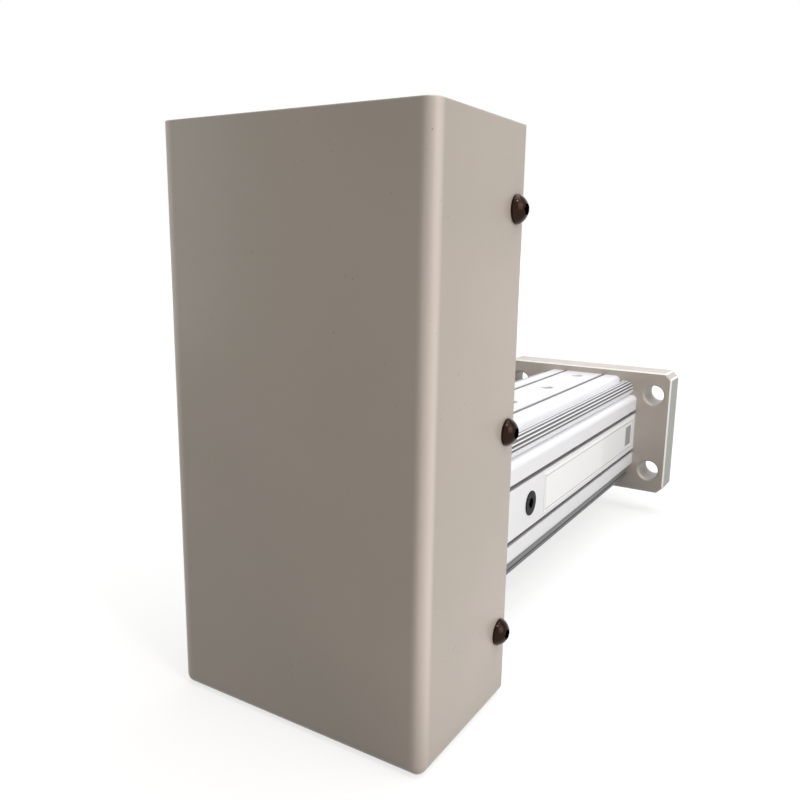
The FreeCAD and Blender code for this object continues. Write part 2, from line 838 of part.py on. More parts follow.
def screw_lock_nut():
    """Notched ring nut that clamps the inner rings on the screw."""
    span = (plate_rear_x - lock_nut_width, plate_rear_x)
    solid = ring(span, lock_nut_radius, bearing_bore / 2 + static_gap)
    half = lock_nut_notch / 2
    notch = block(span, (-half, half), (lock_nut_radius - lock_nut_notch_depth, lock_nut_radius))
    return solid.cut([turn_x(notch, 360 * k / lock_nut_notches) for k in range(lock_nut_notches)])


def ball_track():
    """Round cutter wound along the screw, which the balls run in."""
    start = collar_front_x + track_start
    length = screw_shoulder_x - start + screw_lead
    helix = Part.makeLongHelix(screw_lead, length, track_radius, 0.0)
    rise = screw_lead / (2 * math.pi * track_radius)
    outline = Part.makeCircle(track_ball / 2 + track_gap, Vector(track_radius, 0, 0), Vector(0, 1, rise))
    track = Part.Wire(helix.Edges).makePipeShell([Part.Wire([outline])], True, True)
    track.rotate(ORIGIN, Y_AXIS, 90)
    track.translate(Vector(start, 0, 0))
    return track


def nut_balls():
    """Balls between nut and screw, on the same helix as the track."""
    start = collar_front_x + track_start
    middle = (piston_rear_x + nut_front_x) / 2
    first = math.floor((middle - start) / screw_lead - ball_turns / 2) * balls_per_turn
    balls = []
    for k in range(first, first + round(ball_turns * balls_per_turn)):
        angle = 2 * math.pi * k / balls_per_turn
        x = start + screw_lead * k / balls_per_turn
        place = Vector(x, track_radius * math.sin(angle), -track_radius * math.cos(angle))
        balls.append(Part.makeSphere(track_ball / 2, place))
    return balls


def ball_screw():
    """Screw with its bearing seat, pulley journal and front tip."""
    journal = driven_bore / 2 - static_gap
    seat = bearing_bore / 2
    collar = screw_collar / 2
    rear_x = pulley_rear_x + journal_short
    tip = screw_tip / 2
    groove = tip - circlip_depth
    profile = [(rear_x, 0), (rear_x, journal), (pulley_front_x, journal), (pulley_front_x, seat)]
    profile += [(bearing_front_x, seat), (bearing_front_x, collar), (collar_front_x, collar)]
    profile += [(collar_front_x, screw_radius), (screw_shoulder_x, screw_radius), (screw_shoulder_x, tip)]
    profile += [(circlip_x, tip), (circlip_x, groove), (circlip_x + circlip_width, groove)]
    profile += [(circlip_x + circlip_width, tip), (screw_front_x, tip), (screw_front_x, 0)]
    bolt_hole = tapped((rear_x, washer_rear_x + pulley_bolt_grip + screw_room), m6, 0, 0)
    slot = key_block(driven_bore / 2 - key_depth, driven_bore / 2, key_room)
    return turned(profile).cut([ball_track(), bolt_hole, slot])


def key_block(bottom, top, room):
    """Bar between two radii at the pulley's key, widened and lengthened by room on each side."""
    middle = (pulley_front_x + pulley_rear_x) / 2
    long_half = key_length / 2 + room
    half = key_width / 2 + room
    return block((middle - long_half, middle + long_half), (-half, half), (bottom, top))


def pulley_key():
    """Key between the screw and its pulley."""
    return key_block(driven_bore / 2 - key_depth, driven_bore / 2 + key_height, 0.0)


def tip_bush():
    """Plain bush on the screw's tip, which runs inside the rod."""
    span = (tip_bush_x, circlip_x)
    return ring(span, rod_bore_radius - running_gap, screw_tip / 2 + static_gap)


def tip_circlip():
    """Open spring ring in the groove of the screw's tip."""
    groove = screw_tip / 2 - circlip_depth
    span = (circlip_x, circlip_x + circlip_width)
    rim = groove + circlip_rim
    mouth = block(span, (-circlip_mouth / 2, circlip_mouth / 2), (0, rim))
    return ring(span, rim, groove + static_gap).cut(mouth)


def ball_nut():
    """Flanged nut with a ball track."""
    bore = screw_radius + sliding_gap
    profile = [(nut_rear_x, bore), (nut_rear_x, nut_flange_radius), (piston_rear_x, nut_flange_radius)]
    profile += [(piston_rear_x, nut_body_radius), (nut_front_x, nut_body_radius), (nut_front_x, bore)]
    cuts = [ball_track()]
    for y, z in circle(nut_screw_circle, nut_screw_count):
        cuts += counterbored(nut_screw_seat_x, piston_rear_x, nut_rear_x, m4, y, z)
    return turned(profile).cut(cuts)


nut_screw_seat_x = nut_rear_x + m4.head_height + screw_room


def nut_screws():
    """Screws from the nut into the piston."""
    screw = cap_screw(m4, piston_rear_x - nut_screw_seat_x + nut_screw_grip)
    places = circle(nut_screw_circle, nut_screw_count)
    return [placed(screw, Vector(nut_screw_seat_x, y, z)) for y, z in places]


# Places along the piston, from its rear face
rear_wear_x = piston_rear_x + wear_ring_inset
guide_key_x = rear_wear_x + wear_ring_width + piston_gap
magnet_x = guide_key_x + guide_key_length + piston_gap
front_wear_x = piston_front_x - piston_gap - wear_ring_width
wear_inner = piston_radius - wear_ring_depth


def piston():
    """Carrier of nut and rod, with seats for the wear rings, the magnet and the guide keys."""
    nut_seat = nut_body_radius + static_gap
    rod_seat = rod_radius + static_gap
    profile = [(piston_rear_x, nut_seat), (piston_rear_x, piston_radius), (piston_front_x, piston_radius)]
    profile += [(piston_front_x, rod_seat), (rod_rear_x, rod_seat), (rod_rear_x, rod_bore_radius)]
    profile += [(nut_front_x, rod_bore_radius), (nut_front_x, nut_seat)]
    bands = [(x, wear_ring_width, wear_inner) for x in (rear_wear_x, front_wear_x)]
    bands.append((magnet_x, magnet_width, piston_radius - magnet_depth))
    cuts = [ring((x, x + width), bore_radius, inner) for x, width, inner in bands]
    cuts += [turn_x(guide_key(piston_radius, static_gap), turn) for turn in keyway_turns]
    thread = (piston_rear_x, piston_rear_x + nut_screw_grip + screw_room)
    cuts += [tapped(thread, m4, y, z) for y, z in circle(nut_screw_circle, nut_screw_count)]
    return turned(profile).cut(cuts)


def guide_key(top, room):
    """Bar from the bottom of the key's seat to a radius, widened by room on each side."""
    half = keyway_width / 2 - sliding_gap + room
    span = (guide_key_x, guide_key_x + guide_key_length)
    return block(span, (-half, half), (piston_radius - guide_key_depth, top))


def guide_keys():
    """Keys that run in the tube's keyways and stop the rod from turning."""
    key = guide_key(bore_radius + keyway_depth - sliding_gap, 0.0)
    return [turn_x(key, turn) for turn in keyway_turns]


def wear_rings():
    """Plain rings that carry the piston in the tube."""
    spans = [(x, x + wear_ring_width) for x in (rear_wear_x, front_wear_x)]
    return [ring(span, bore_radius - wear_gap, wear_inner + static_gap) for span in spans]


def magnet_ring():
    """Magnet that trips sensors in the tube's grooves."""
    span = (magnet_x, magnet_x + magnet_width)
    return ring(span, piston_radius - magnet_sink, piston_radius - magnet_depth + static_gap)


def piston_rod():
    """Hollow push rod."""
    edge = rod_radius - rod_edge_chamfer
    profile = [(rod_rear_x, rod_bore_radius), (rod_rear_x, edge), (rod_rear_x + rod_edge_chamfer, rod_radius)]
    profile += [(rod_reach - rod_edge_chamfer, rod_radius), (rod_reach, edge), (rod_reach, rod_bore_radius)]
    return turned(profile)


def rod_end():
    """Plug with wrench flats and a threaded stud. Under the nut, the stud has its thread's core diameter."""
    plug = rod_bore_radius - static_gap
    core = stud_core / 2
    stud = stud_diameter / 2
    free_x = stud_rear_x + rod_nut_height
    tip_x = stud_front_x - stud_chamfer
    profile = [(rod_reach - rod_plug_depth, 0), (rod_reach - rod_plug_depth, plug), (rod_reach, plug)]
    profile += [(rod_reach, rod_radius), (stud_rear_x, rod_radius), (stud_rear_x, core), (free_x, core)]
    profile += [(free_x, stud), (tip_x, stud), (stud_front_x, stud - stud_chamfer), (stud_front_x, 0)]
    flat = rod_collar_flats / 2
    span = (rod_reach + rod_collar / 4, stud_rear_x)
    sides = [(flat, rod_radius), (-rod_radius, -flat)]
    return turned(profile).cut([block(span, side, (-rod_radius, rod_radius)) for side in sides])


def rod_end_nut():
    """Lock nut on the stud."""
    span = (stud_rear_x, stud_rear_x + rod_nut_height)
    return hexagon(span, rod_nut_flats).cut(bar(span, stud_core / 2 + static_gap))


def belt_point(along, depth):
    """(y, z) at a distance along the pitch line from its lowest point, and a depth inside it."""
    along = along % belt_length
    side = 1.0
    if along > belt_length / 2:
        side = -1.0
        along = belt_length - along
    lower = driven_radius * (math.pi / 2 + belt_lean)
    span = motor_z * math.cos(belt_lean)
    rest = min(max(along - lower, 0.0), span)
    angle = belt_lean
    if along < lower:
        angle = along / driven_radius - math.pi / 2
    if along > lower + span:
        angle = belt_lean + (along - lower - span) / drive_radius
    upper = along > lower + span
    centre_z = motor_z if upper else 0.0
    radius = drive_radius if upper else driven_radius
    climb = 0.0 if upper else rest
    y = (radius - depth) * math.cos(angle) - climb * math.sin(belt_lean)
    z = centre_z + (radius - depth) * math.sin(angle) + climb * math.cos(belt_lean)
    return side * y, z


def tooth_outline(gap):
    """One belt tooth as (distance along the belt, depth) points, grown by a gap on every side."""
    root = belt_tooth_root / 2 + gap
    tip = belt_tooth_tip / 2 + gap
    bottom = belt_land + belt_tooth_height + gap
    return [(-root, belt_land + gap), (-tip, bottom), (tip, bottom), (root, belt_land + gap)]


def timing_belt():
    """Toothed belt, in mesh with both pulleys."""
    inner_x = pulley_front_x - pulley_flange_width - belt_side_gap
    span = (inner_x - belt_width, inner_x)
    inside = []
    for tooth in range(belt_teeth):
        inside += [belt_point(tooth * belt_pitch + along, depth) for along, depth in tooth_outline(0.0)]
    return belt_outside(span).cut(prism(inside, span))


def belt_outside(span):
    """Solid within the belt's back: two arcs joined by two straight runs."""
    lower = driven_radius + belt_back
    upper = drive_radius + belt_back
    across = math.cos(belt_lean)
    rise = math.sin(belt_lean)
    x = span[0]
    right_low = Vector(x, lower * across, lower * rise)
    right_high = Vector(x, upper * across, motor_z + upper * rise)
    left_low = Vector(x, -lower * across, lower * rise)
    left_high = Vector(x, -upper * across, motor_z + upper * rise)
    bottom = Part.Arc(left_low, Vector(x, 0, -lower), right_low).toShape()
    top = Part.Arc(right_high, Vector(x, 0, motor_z + upper), left_high).toShape()
    right = Part.LineSegment(right_low, right_high).toShape()
    left = Part.LineSegment(left_high, left_low).toShape()
    return Part.Face(Part.Wire([bottom, right, top, left])).extrude(Vector(span[1] - span[0], 0, 0))


def toothed_wheel(teeth, radius, first_angle, z):
    """Pulley body about an axis at height z, with a spigot at each end for its flanges."""
    outline = []
    for tooth in range(teeth):
        middle = first_angle + 2 * math.pi * tooth / teeth
        for along, depth in tooth_outline(belt_gap):
            angle = middle + along / radius
            outline.append(((radius - depth) * math.cos(angle), z + (radius - depth) * math.sin(angle)))
    wheel = prism(outline, (pulley_rear_x + pulley_flange_width, pulley_front_x - pulley_flange_width))
    return wheel.fuse(bar((pulley_rear_x, pulley_front_x), radius - pulley_rim, 0, z))


def wheel_flanges(radius, z):
    """The two side plates of a pulley."""
    rear = (pulley_rear_x, pulley_rear_x + pulley_flange_width)
    front = (pulley_front_x - pulley_flange_width, pulley_front_x)
    inner = radius - pulley_rim + static_gap
    return [ring(span, radius + pulley_flange_lip, inner, z) for span in (rear, front)]


def driven_pulley():
    """Pulley on the screw, with a belt tooth in its lowest groove."""
    wheel = toothed_wheel(driven_teeth, driven_radius, -math.pi / 2, 0.0)
    bore = bar((pulley_rear_x, pulley_front_x), driven_bore / 2)
    half = key_width / 2 + key_room
    top = driven_bore / 2 + key_height + key_room
    keyway = block((pulley_rear_x, pulley_front_x), (-half, half), (0, top))
    return wheel.cut([bore, keyway])


def driven_pulley_flanges():
    """Side plates of the screw's pulley."""
    return wheel_flanges(driven_radius, 0.0)


def pulley_washer():
    """Washer that holds the pulley on the screw."""
    span = (washer_rear_x, pulley_rear_x)
    return ring(span, washer_diameter / 2, (m6.thread + screw_room) / 2)


def pulley_bolt():
    """Screw in the end of the ball screw."""
    return placed(cap_screw(m6, pulley_bolt_grip), Vector(washer_rear_x, 0, 0))


def drive_pulley():
    """Pulley on the motor's shaft, with a hub for its set screws."""
    half_step = math.pi / drive_teeth
    first_angle = math.pi / 2 + (belt_teeth % 2) * half_step
    wheel = toothed_wheel(drive_teeth, drive_radius, first_angle, motor_z)
    hub_span = (pulley_front_x, pulley_front_x + drive_hub_length)
    hub = bar(hub_span, motor_shaft / 2 + drive_hub_wall, 0, motor_z)
    cuts = [bar((pulley_rear_x, hub_span[1]), motor_shaft / 2 + static_gap, 0, motor_z)]
    outside = motor_shaft / 2 + drive_hub_wall + screw_room
    cuts += [set_screw(m4.thread / 2 + static_gap, (0, outside), turn) for turn in set_screw_turns]
    return wheel.fuse(hub).cut(cuts)


def drive_pulley_flanges():
    """Side plates of the motor's pulley."""
    return wheel_flanges(drive_radius, motor_z)


def set_screw(radius, z_span, turn):
    """Round bar in the middle of the hub, between two distances from the motor's axis, turned about it."""
    screw = placed(bar(z_span, radius), Vector(pulley_front_x + drive_hub_length / 2, 0, 0), Z_AXIS)
    screw = turn_x(screw, turn)
    screw.translate(Vector(0, 0, motor_z))
    return screw


def drive_set_screws():
    """Set screws of the motor's pulley, sunk in its hub."""
    foot = motor_shaft / 2 + static_gap
    span = (foot, motor_shaft / 2 + drive_hub_wall - screw_room)
    return [set_screw(m4.thread / 2, span, turn) for turn in set_screw_turns]


def motor_profile(x_span, half):
    """Square bar about the motor's axis, its corners cut away where the motor's screws pass."""
    solid = block(x_span, (-half, half), (motor_z - half, motor_z + half))
    edge = half - (motor_size / 2 - motor_screw_edge)
    scallop = max(math.hypot(edge, edge) + motor_scallop, m5.head / 2 + screw_room)
    return solid.cut([bar(x_span, scallop, y, z) for y, z in motor_screw_places()])


def motor_flange():
    """Front end of the motor, with its pilot and front bearing seat."""
    half = motor_size / 2
    span = (motor_front_x, housing_front_x)
    plate = block(span, (-half, half), (motor_z - half, motor_z + half))
    plate = plate.makeFillet(plate_corner, [e for e in plate.Edges if runs_along_x(e)])
    pilot_x = motor_front_x - motor_pilot_height
    solid = plate.fuse(bar((pilot_x, motor_front_x), motor_pilot, 0, motor_z))
    seat_x = housing_front_x - motor_front_bearing_width
    cuts = [bar((seat_x, housing_front_x), motor_front_bearing / 2 + static_gap, 0, motor_z)]
    cuts.append(bar((pilot_x, seat_x), motor_shaft / 2 + motor_seal_room, 0, motor_z))
    cuts += [bar(span, (m5.thread + screw_room) / 2, y, z) for y, z in motor_screw_places()]
    cuts += end_cap_threads((housing_front_x - end_cap_screw_grip, housing_front_x))
    return solid.cut(cuts)


def end_cap_screw_places():
    """(y, z) of the long screws that hold the motor together."""
    radius = housing_bore + motor_wall / 2
    turn = math.radians(end_cap_screw_turn)
    return [(y, motor_z + z) for y, z in corners(radius * math.sin(turn), radius * math.cos(turn))]


def end_cap_threads(span):
    """Cutters of the holes for the end cap's screws."""
    return [tapped(span, m3, y, z) for y, z in end_cap_screw_places()]


housing_half = motor_size / 2 - motor_step
housing_bore = housing_half - motor_wall


def motor_housing():
    """Ribbed housing round the stator."""
    span = (housing_front_x, housing_rear_x)
    cuts = [bar(span, housing_bore, 0, motor_z)]
    first = -motor_rib_pitch * (motor_rib_count - 1) / 2
    for rib in range(motor_rib_count):
        low = first + motor_rib_pitch * rib - motor_rib_width / 2
        high = low + motor_rib_width
        for side in (-1, 1):
            edge = sorted((side * housing_half, side * (housing_half - motor_rib_depth)))
            cuts.append(block(span, edge, (motor_z + low, motor_z + high)))
    cuts += end_cap_threads(span)
    return motor_profile(span, housing_half).cut(cuts)


def motor_stator():
    """Slotted stator ring in the housing."""
    middle = (housing_front_x + housing_rear_x) / 2
    span = (middle - stator_width / 2, middle + stator_width / 2)
    inner = housing_bore - stator_depth
    solid = ring(span, housing_bore - static_gap, inner)
    half = stator_slot_width / 2
    slot = block(span, (-half, half), (0, inner + stator_slot_depth))
    solid = solid.cut([turn_x(slot, 360 * k / stator_slots) for k in range(stator_slots)])
    solid.translate(Vector(0, 0, motor_z))
    return solid


def motor_bearings():
    """Front and rear bearings of the motor's shaft, each drawn as one ring."""
    front = (housing_front_x - motor_front_bearing_width, housing_front_x)
    rear = (housing_rear_x, housing_rear_x + motor_rear_bearing_width)
    front_bore = motor_shaft / 2 + motor_shaft_shoulder + running_gap
    rear_bore = motor_rear_journal / 2 + running_gap
    front_ring = ring(front, motor_front_bearing / 2, front_bore, motor_z)
    return [front_ring, ring(rear, motor_rear_bearing / 2, rear_bore, motor_z)]


def motor_end_cap():
    """Rear end of the motor, with the rear bearing's seat."""
    span = (housing_rear_x, motor_rear_x)
    solid = motor_profile(span, housing_half)
    solid = solid.makeChamfer(motor_cap_edge, [e for e in solid.Edges if lies_at(e, 0, motor_rear_x)])
    seat = (housing_rear_x, housing_rear_x + motor_rear_bearing_width)
    cuts = [bar(seat, motor_rear_bearing / 2 + static_gap, 0, motor_z)]
    for y, z in end_cap_screw_places():
        cuts += counterbored(end_cap_seat_x, housing_rear_x, motor_rear_x, m3, y, z)
    return solid.cut(cuts)


end_cap_seat_x = motor_rear_x - m3.head_height - screw_room


def end_cap_screws():
    """Long screws that hold the motor's end cap and housing on its flange."""
    screw = cap_screw(m3, end_cap_seat_x - housing_front_x + end_cap_screw_grip - screw_room)
    return [placed(screw, Vector(end_cap_seat_x, y, z), -X_AXIS) for y, z in end_cap_screw_places()]


def motor_rotor():
    """Shaft of the motor with its magnet drum."""
    shaft = motor_shaft / 2
    shoulder = shaft + motor_shaft_shoulder
    drum = housing_bore - stator_depth - rotor_air_gap
    middle = (housing_front_x + housing_rear_x) / 2
    drum_half = stator_width / 2 - rotor_short
    front_x = pulley_rear_x + journal_short
    seat_x = housing_front_x - motor_front_bearing_width - rotor_short
    rear = motor_rear_journal / 2
    rear_x = housing_rear_x + motor_rear_bearing_width
    drum_start = middle - drum_half
    drum_end = middle + drum_half
    profile = [(front_x, 0), (front_x, shaft), (seat_x, shaft), (seat_x, shoulder), (drum_start, shoulder)]
    profile += [(drum_start, drum), (drum_end, drum), (drum_end, rear), (rear_x, rear)]
    return turned(profile + [(rear_x, 0)], motor_z)


def motor_screws():
    """Screws through the motor's flange and the plate's slots."""
    screw = cap_screw(m5, housing_front_x - plate_rear_x + motor_nut_height)
    return [placed(screw, Vector(housing_front_x, y, z), -X_AXIS) for y, z in motor_screw_places()]


def motor_nuts():
    """Nuts of the motor's screws, behind the drive plate."""
    span = (plate_rear_x - motor_nut_height, plate_rear_x)
    hole = m5.thread / 2 + static_gap
    return [hexagon(span, motor_nut_flats, y, z).cut(bar(span, hole, y, z)) for y, z in motor_screw_places()]


def motor_sockets():
    """Power and signal sockets on top of the motor, open upwards, with contact pins at the bottom."""
    middle = (housing_front_x + housing_rear_x) / 2
    return [motor_socket(middle + side * socket_pitch / 2) for side in (-1, 1)]


def motor_socket(x):
    """One round socket on a square base."""
    base_z = motor_z + housing_half
    half = socket_base / 2
    base = block((x - half, x + half), (-half, half), (base_z, base_z + socket_base_height))
    place = Vector(x, 0, base_z)
    height = socket_base_height + socket_height
    barrel = Part.makeCylinder(socket_diameter / 2, height, place, Z_AXIS)
    floor_z = base_z + height - socket_recess_depth
    recess = Part.makeCylinder(socket_recess / 2, socket_recess_depth, Vector(x, 0, floor_z), Z_AXIS)
    pins = []
    for across, along in circle(socket_pin_circle / 2, socket_pin_count, 45.0):
        foot = Vector(x + across, along, floor_z)
        pins.append(Part.makeCylinder(socket_pin / 2, socket_pin_height, foot, Z_AXIS))
    return base.fuse(barrel).cut(recess).fuse(pins)


def tension_block():
    """Block under the motor that carries the tension screw."""
    span = (plate_front_x, plate_front_x + tension_block_thickness)
    half = tension_block_width / 2
    solid = block(span, (-half, half), (tension_bottom_z, tension_top_z))
    cuts = [bar(span, (m5.thread + screw_room) / 2, y, z) for y, z in tension_screw_places()]
    foot = Vector(tension_x, 0, tension_bottom_z)
    cuts.append(Part.makeCylinder(m6.thread / 2 + static_gap, tension_block_height, foot, Z_AXIS))
    return solid.cut(cuts)


tension_x = plate_front_x + tension_block_thickness / 2


def tension_block_screws():
    """Screws of the tension block."""
    seat_x = plate_front_x + tension_block_thickness
    screw = cap_screw(m5, tension_block_thickness + tension_screw_grip - screw_room)
    return [placed(screw, Vector(seat_x, y, z), -X_AXIS) for y, z in tension_screw_places()]


def tension_screw():
    """Hex-head screw that pushes the motor up to tighten the belt."""
    shank = bar((0, motor_bottom_z - tension_bottom_z), m6.thread / 2)
    head = hexagon((-tension_head_height, 0), tension_head_flats)
    return placed(head.fuse(shank), Vector(tension_x, 0, tension_bottom_z), Z_AXIS)


def tension_lock_nut():
    """Lock nut of the tension screw."""
    nut = hexagon((0, tension_nut_height), tension_head_flats)
    nut = nut.cut(bar((0, tension_nut_height), m6.thread / 2 + static_gap))
    return placed(nut, Vector(tension_x, 0, tension_top_z), Z_AXIS)


PIECES = (
    cylinder_tube, front_flange, flange_screws, rod_bush, rod_wiper, gland_cap, gland_cap_screws,
    front_bumper, rear_bumper, lube_plug, side_label,
    drive_plate, tube_screws, bearing_cartridge, bearing_outer_rings, bearing_balls, bearing_retainer,
    retainer_screws, belt_cover, cover_screws, timing_belt,
    motor_flange, motor_housing, motor_stator, motor_bearings, motor_end_cap, end_cap_screws, motor_screws,
    motor_nuts, motor_sockets, tension_block, tension_block_screws, tension_screw, tension_lock_nut,
    piston_rod, rod_end, rod_end_nut, piston, ball_nut, nut_balls, nut_screws, wear_rings, guide_keys,
    magnet_ring,
    ball_screw, bearing_inner_rings, screw_lock_nut, driven_pulley, driven_pulley_flanges, pulley_key,
    pulley_washer, pulley_bolt, tip_bush, tip_circlip,
    motor_rotor, drive_pulley, drive_pulley_flanges, drive_set_screws,
)

os.makedirs("parts", exist_ok=True)
for piece in PIECES:
    made = piece()
    shapes = made if isinstance(made, list) else [made]
    solids = [solid for shape in shapes for solid in shape.Solids]
    result = solids[0] if len(solids) == 1 else Part.makeCompound(solids)
    result.exportStep("parts/" + piece.__name__ + ".step")
    state = "valid" if result.isValid() else "NOT VALID"
    print(piece.__name__, len(solids), "solid", state, round(result.Volume, 1))
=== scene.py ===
"""Looks of an electric cylinder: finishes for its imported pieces, a few finer pieces, and a plain studio."""

import logging
import math
from dataclasses import dataclass, field
from enum import Enum

import bmesh
import bpy
import numpy as np
from mathutils import Matrix, Vector


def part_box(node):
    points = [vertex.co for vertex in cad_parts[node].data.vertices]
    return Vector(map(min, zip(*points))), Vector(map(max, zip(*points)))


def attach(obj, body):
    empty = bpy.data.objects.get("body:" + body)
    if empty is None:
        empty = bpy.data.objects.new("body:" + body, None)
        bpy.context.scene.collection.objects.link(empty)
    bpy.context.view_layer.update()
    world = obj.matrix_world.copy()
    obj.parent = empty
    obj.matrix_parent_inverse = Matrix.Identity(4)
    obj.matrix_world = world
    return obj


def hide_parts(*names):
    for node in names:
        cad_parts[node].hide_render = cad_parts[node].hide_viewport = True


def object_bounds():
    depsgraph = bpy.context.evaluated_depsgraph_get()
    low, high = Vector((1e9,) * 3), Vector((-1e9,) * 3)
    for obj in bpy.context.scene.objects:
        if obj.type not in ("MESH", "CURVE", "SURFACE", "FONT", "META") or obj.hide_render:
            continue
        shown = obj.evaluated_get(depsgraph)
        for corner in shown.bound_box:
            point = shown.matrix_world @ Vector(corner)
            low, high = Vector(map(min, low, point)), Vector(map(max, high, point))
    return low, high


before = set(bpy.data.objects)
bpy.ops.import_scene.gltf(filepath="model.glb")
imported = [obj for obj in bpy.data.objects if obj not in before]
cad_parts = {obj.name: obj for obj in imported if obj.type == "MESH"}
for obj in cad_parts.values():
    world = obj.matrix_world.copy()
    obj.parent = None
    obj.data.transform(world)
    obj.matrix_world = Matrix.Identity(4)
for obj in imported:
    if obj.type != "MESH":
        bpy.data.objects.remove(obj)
CAD_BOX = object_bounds()

LOG = logging.getLogger("electric_cylinder")
MM = 0.001
TURN = 2 * math.pi
SHARP_ANGLE = math.radians(32)
MERGE_DISTANCE = 1e-7
LEAST_COSINE = 1e-6
NOISE_MIDDLE = 0.5
MIX_FIRST = 6
MIX_SECOND = 7
MIX_RESULT = 2
DISPLAY_FULL = 255
DISPLAY_POWER = 2.4
DISPLAY_OFFSET = 0.055
DISPLAY_KNEE = 0.04045
DISPLAY_SLOPE = 12.92

Colour = tuple[float, float, float]
Triple = tuple[float, float, float]
Span = tuple[float, float]
WHITE: Colour = (1.0, 1.0, 1.0)
ORIGIN: Triple = (0.0, 0.0, 0.0)


def shown(red: int, green: int, blue: int) -> Colour:
    """Linear colour of a display colour.

    Args:
        red, green, blue: the display values, from 0 to 255.

    Returns:
        The same colour as linear light.
    """
    encoded = np.array((red, green, blue)) / DISPLAY_FULL
    bright = ((encoded + DISPLAY_OFFSET) / (1 + DISPLAY_OFFSET)) ** DISPLAY_POWER
    linear = np.where(encoded > DISPLAY_KNEE, bright, encoded / DISPLAY_SLOPE)
    return tuple(float(part) for part in linear)


WARM = shown(255, 253, 249)
COLD = shown(251, 252, 255)
DAY = shown(252, 253, 246)


class Value:
    """A number that varies over a surface: a shader socket on which arithmetic adds Math nodes."""

    def __init__(self, graph: "Graph", socket: bpy.types.NodeSocket) -> None:
        """Keeps the socket and the graph that it belongs to."""
        self.graph = graph
        self.socket = socket

    def math(self, operation: str, *terms: "Value | float") -> "Value":
        """Result of a new Math node with this operation and these inputs."""
        node = self.graph.node("ShaderNodeMath", {"operation": operation}, dict(enumerate(terms)))
        return Value(self.graph, node.outputs[0])

    def __add__(self, other: "Value | float") -> "Value":
        """Sum."""
        return self.math("ADD", self, other)

    def __sub__(self, other: "Value | float") -> "Value":
        """Difference."""
        return self.math("SUBTRACT", self, other)

    def __rsub__(self, other: float) -> "Value":
        """Difference from a number."""
        return self.math("SUBTRACT", other, self)

    def __mul__(self, other: "Value | float") -> "Value":
        """Product."""
        return self.math("MULTIPLY", self, other)

    def __pow__(self, other: float) -> "Value":
        """Power."""
        return self.math("POWER", self, other)

    def __abs__(self) -> "Value":
        """Size without its sign."""
        return self.math("ABSOLUTE", self)

    def __rpow__(self, other: float) -> "Value":
        """Power of a number."""
        return self.math("POWER", other, self)

    __radd__ = __add__
    __rmul__ = __mul__

    def higher(self, other: "Value | float") -> "Value":
        """The greater of two values."""
        return self.math("MAXIMUM", self, other)

    def lower(self, other: "Value | float") -> "Value":
        """The lesser of two values."""
        return self.math("MINIMUM", self, other)

    def rising(self, low: float, high: float) -> "Value":
        """Smooth step.

        Args:
            low: value at which the step leaves 0.
            high: value at which it reaches 1.

        Returns:
            The step's height.
        """
        ends = {"Value": self, "From Min": low, "From Max": high}
        node = self.graph.node("ShaderNodeMapRange", {"interpolation_type": "SMOOTHSTEP"}, ends)
        return Value(self.graph, node.outputs[0])


def distance(across: Value, level: Value) -> Value:
    """Distance from an axis, by the distances from two planes through it."""
    return (across * across + level * level) ** 0.5


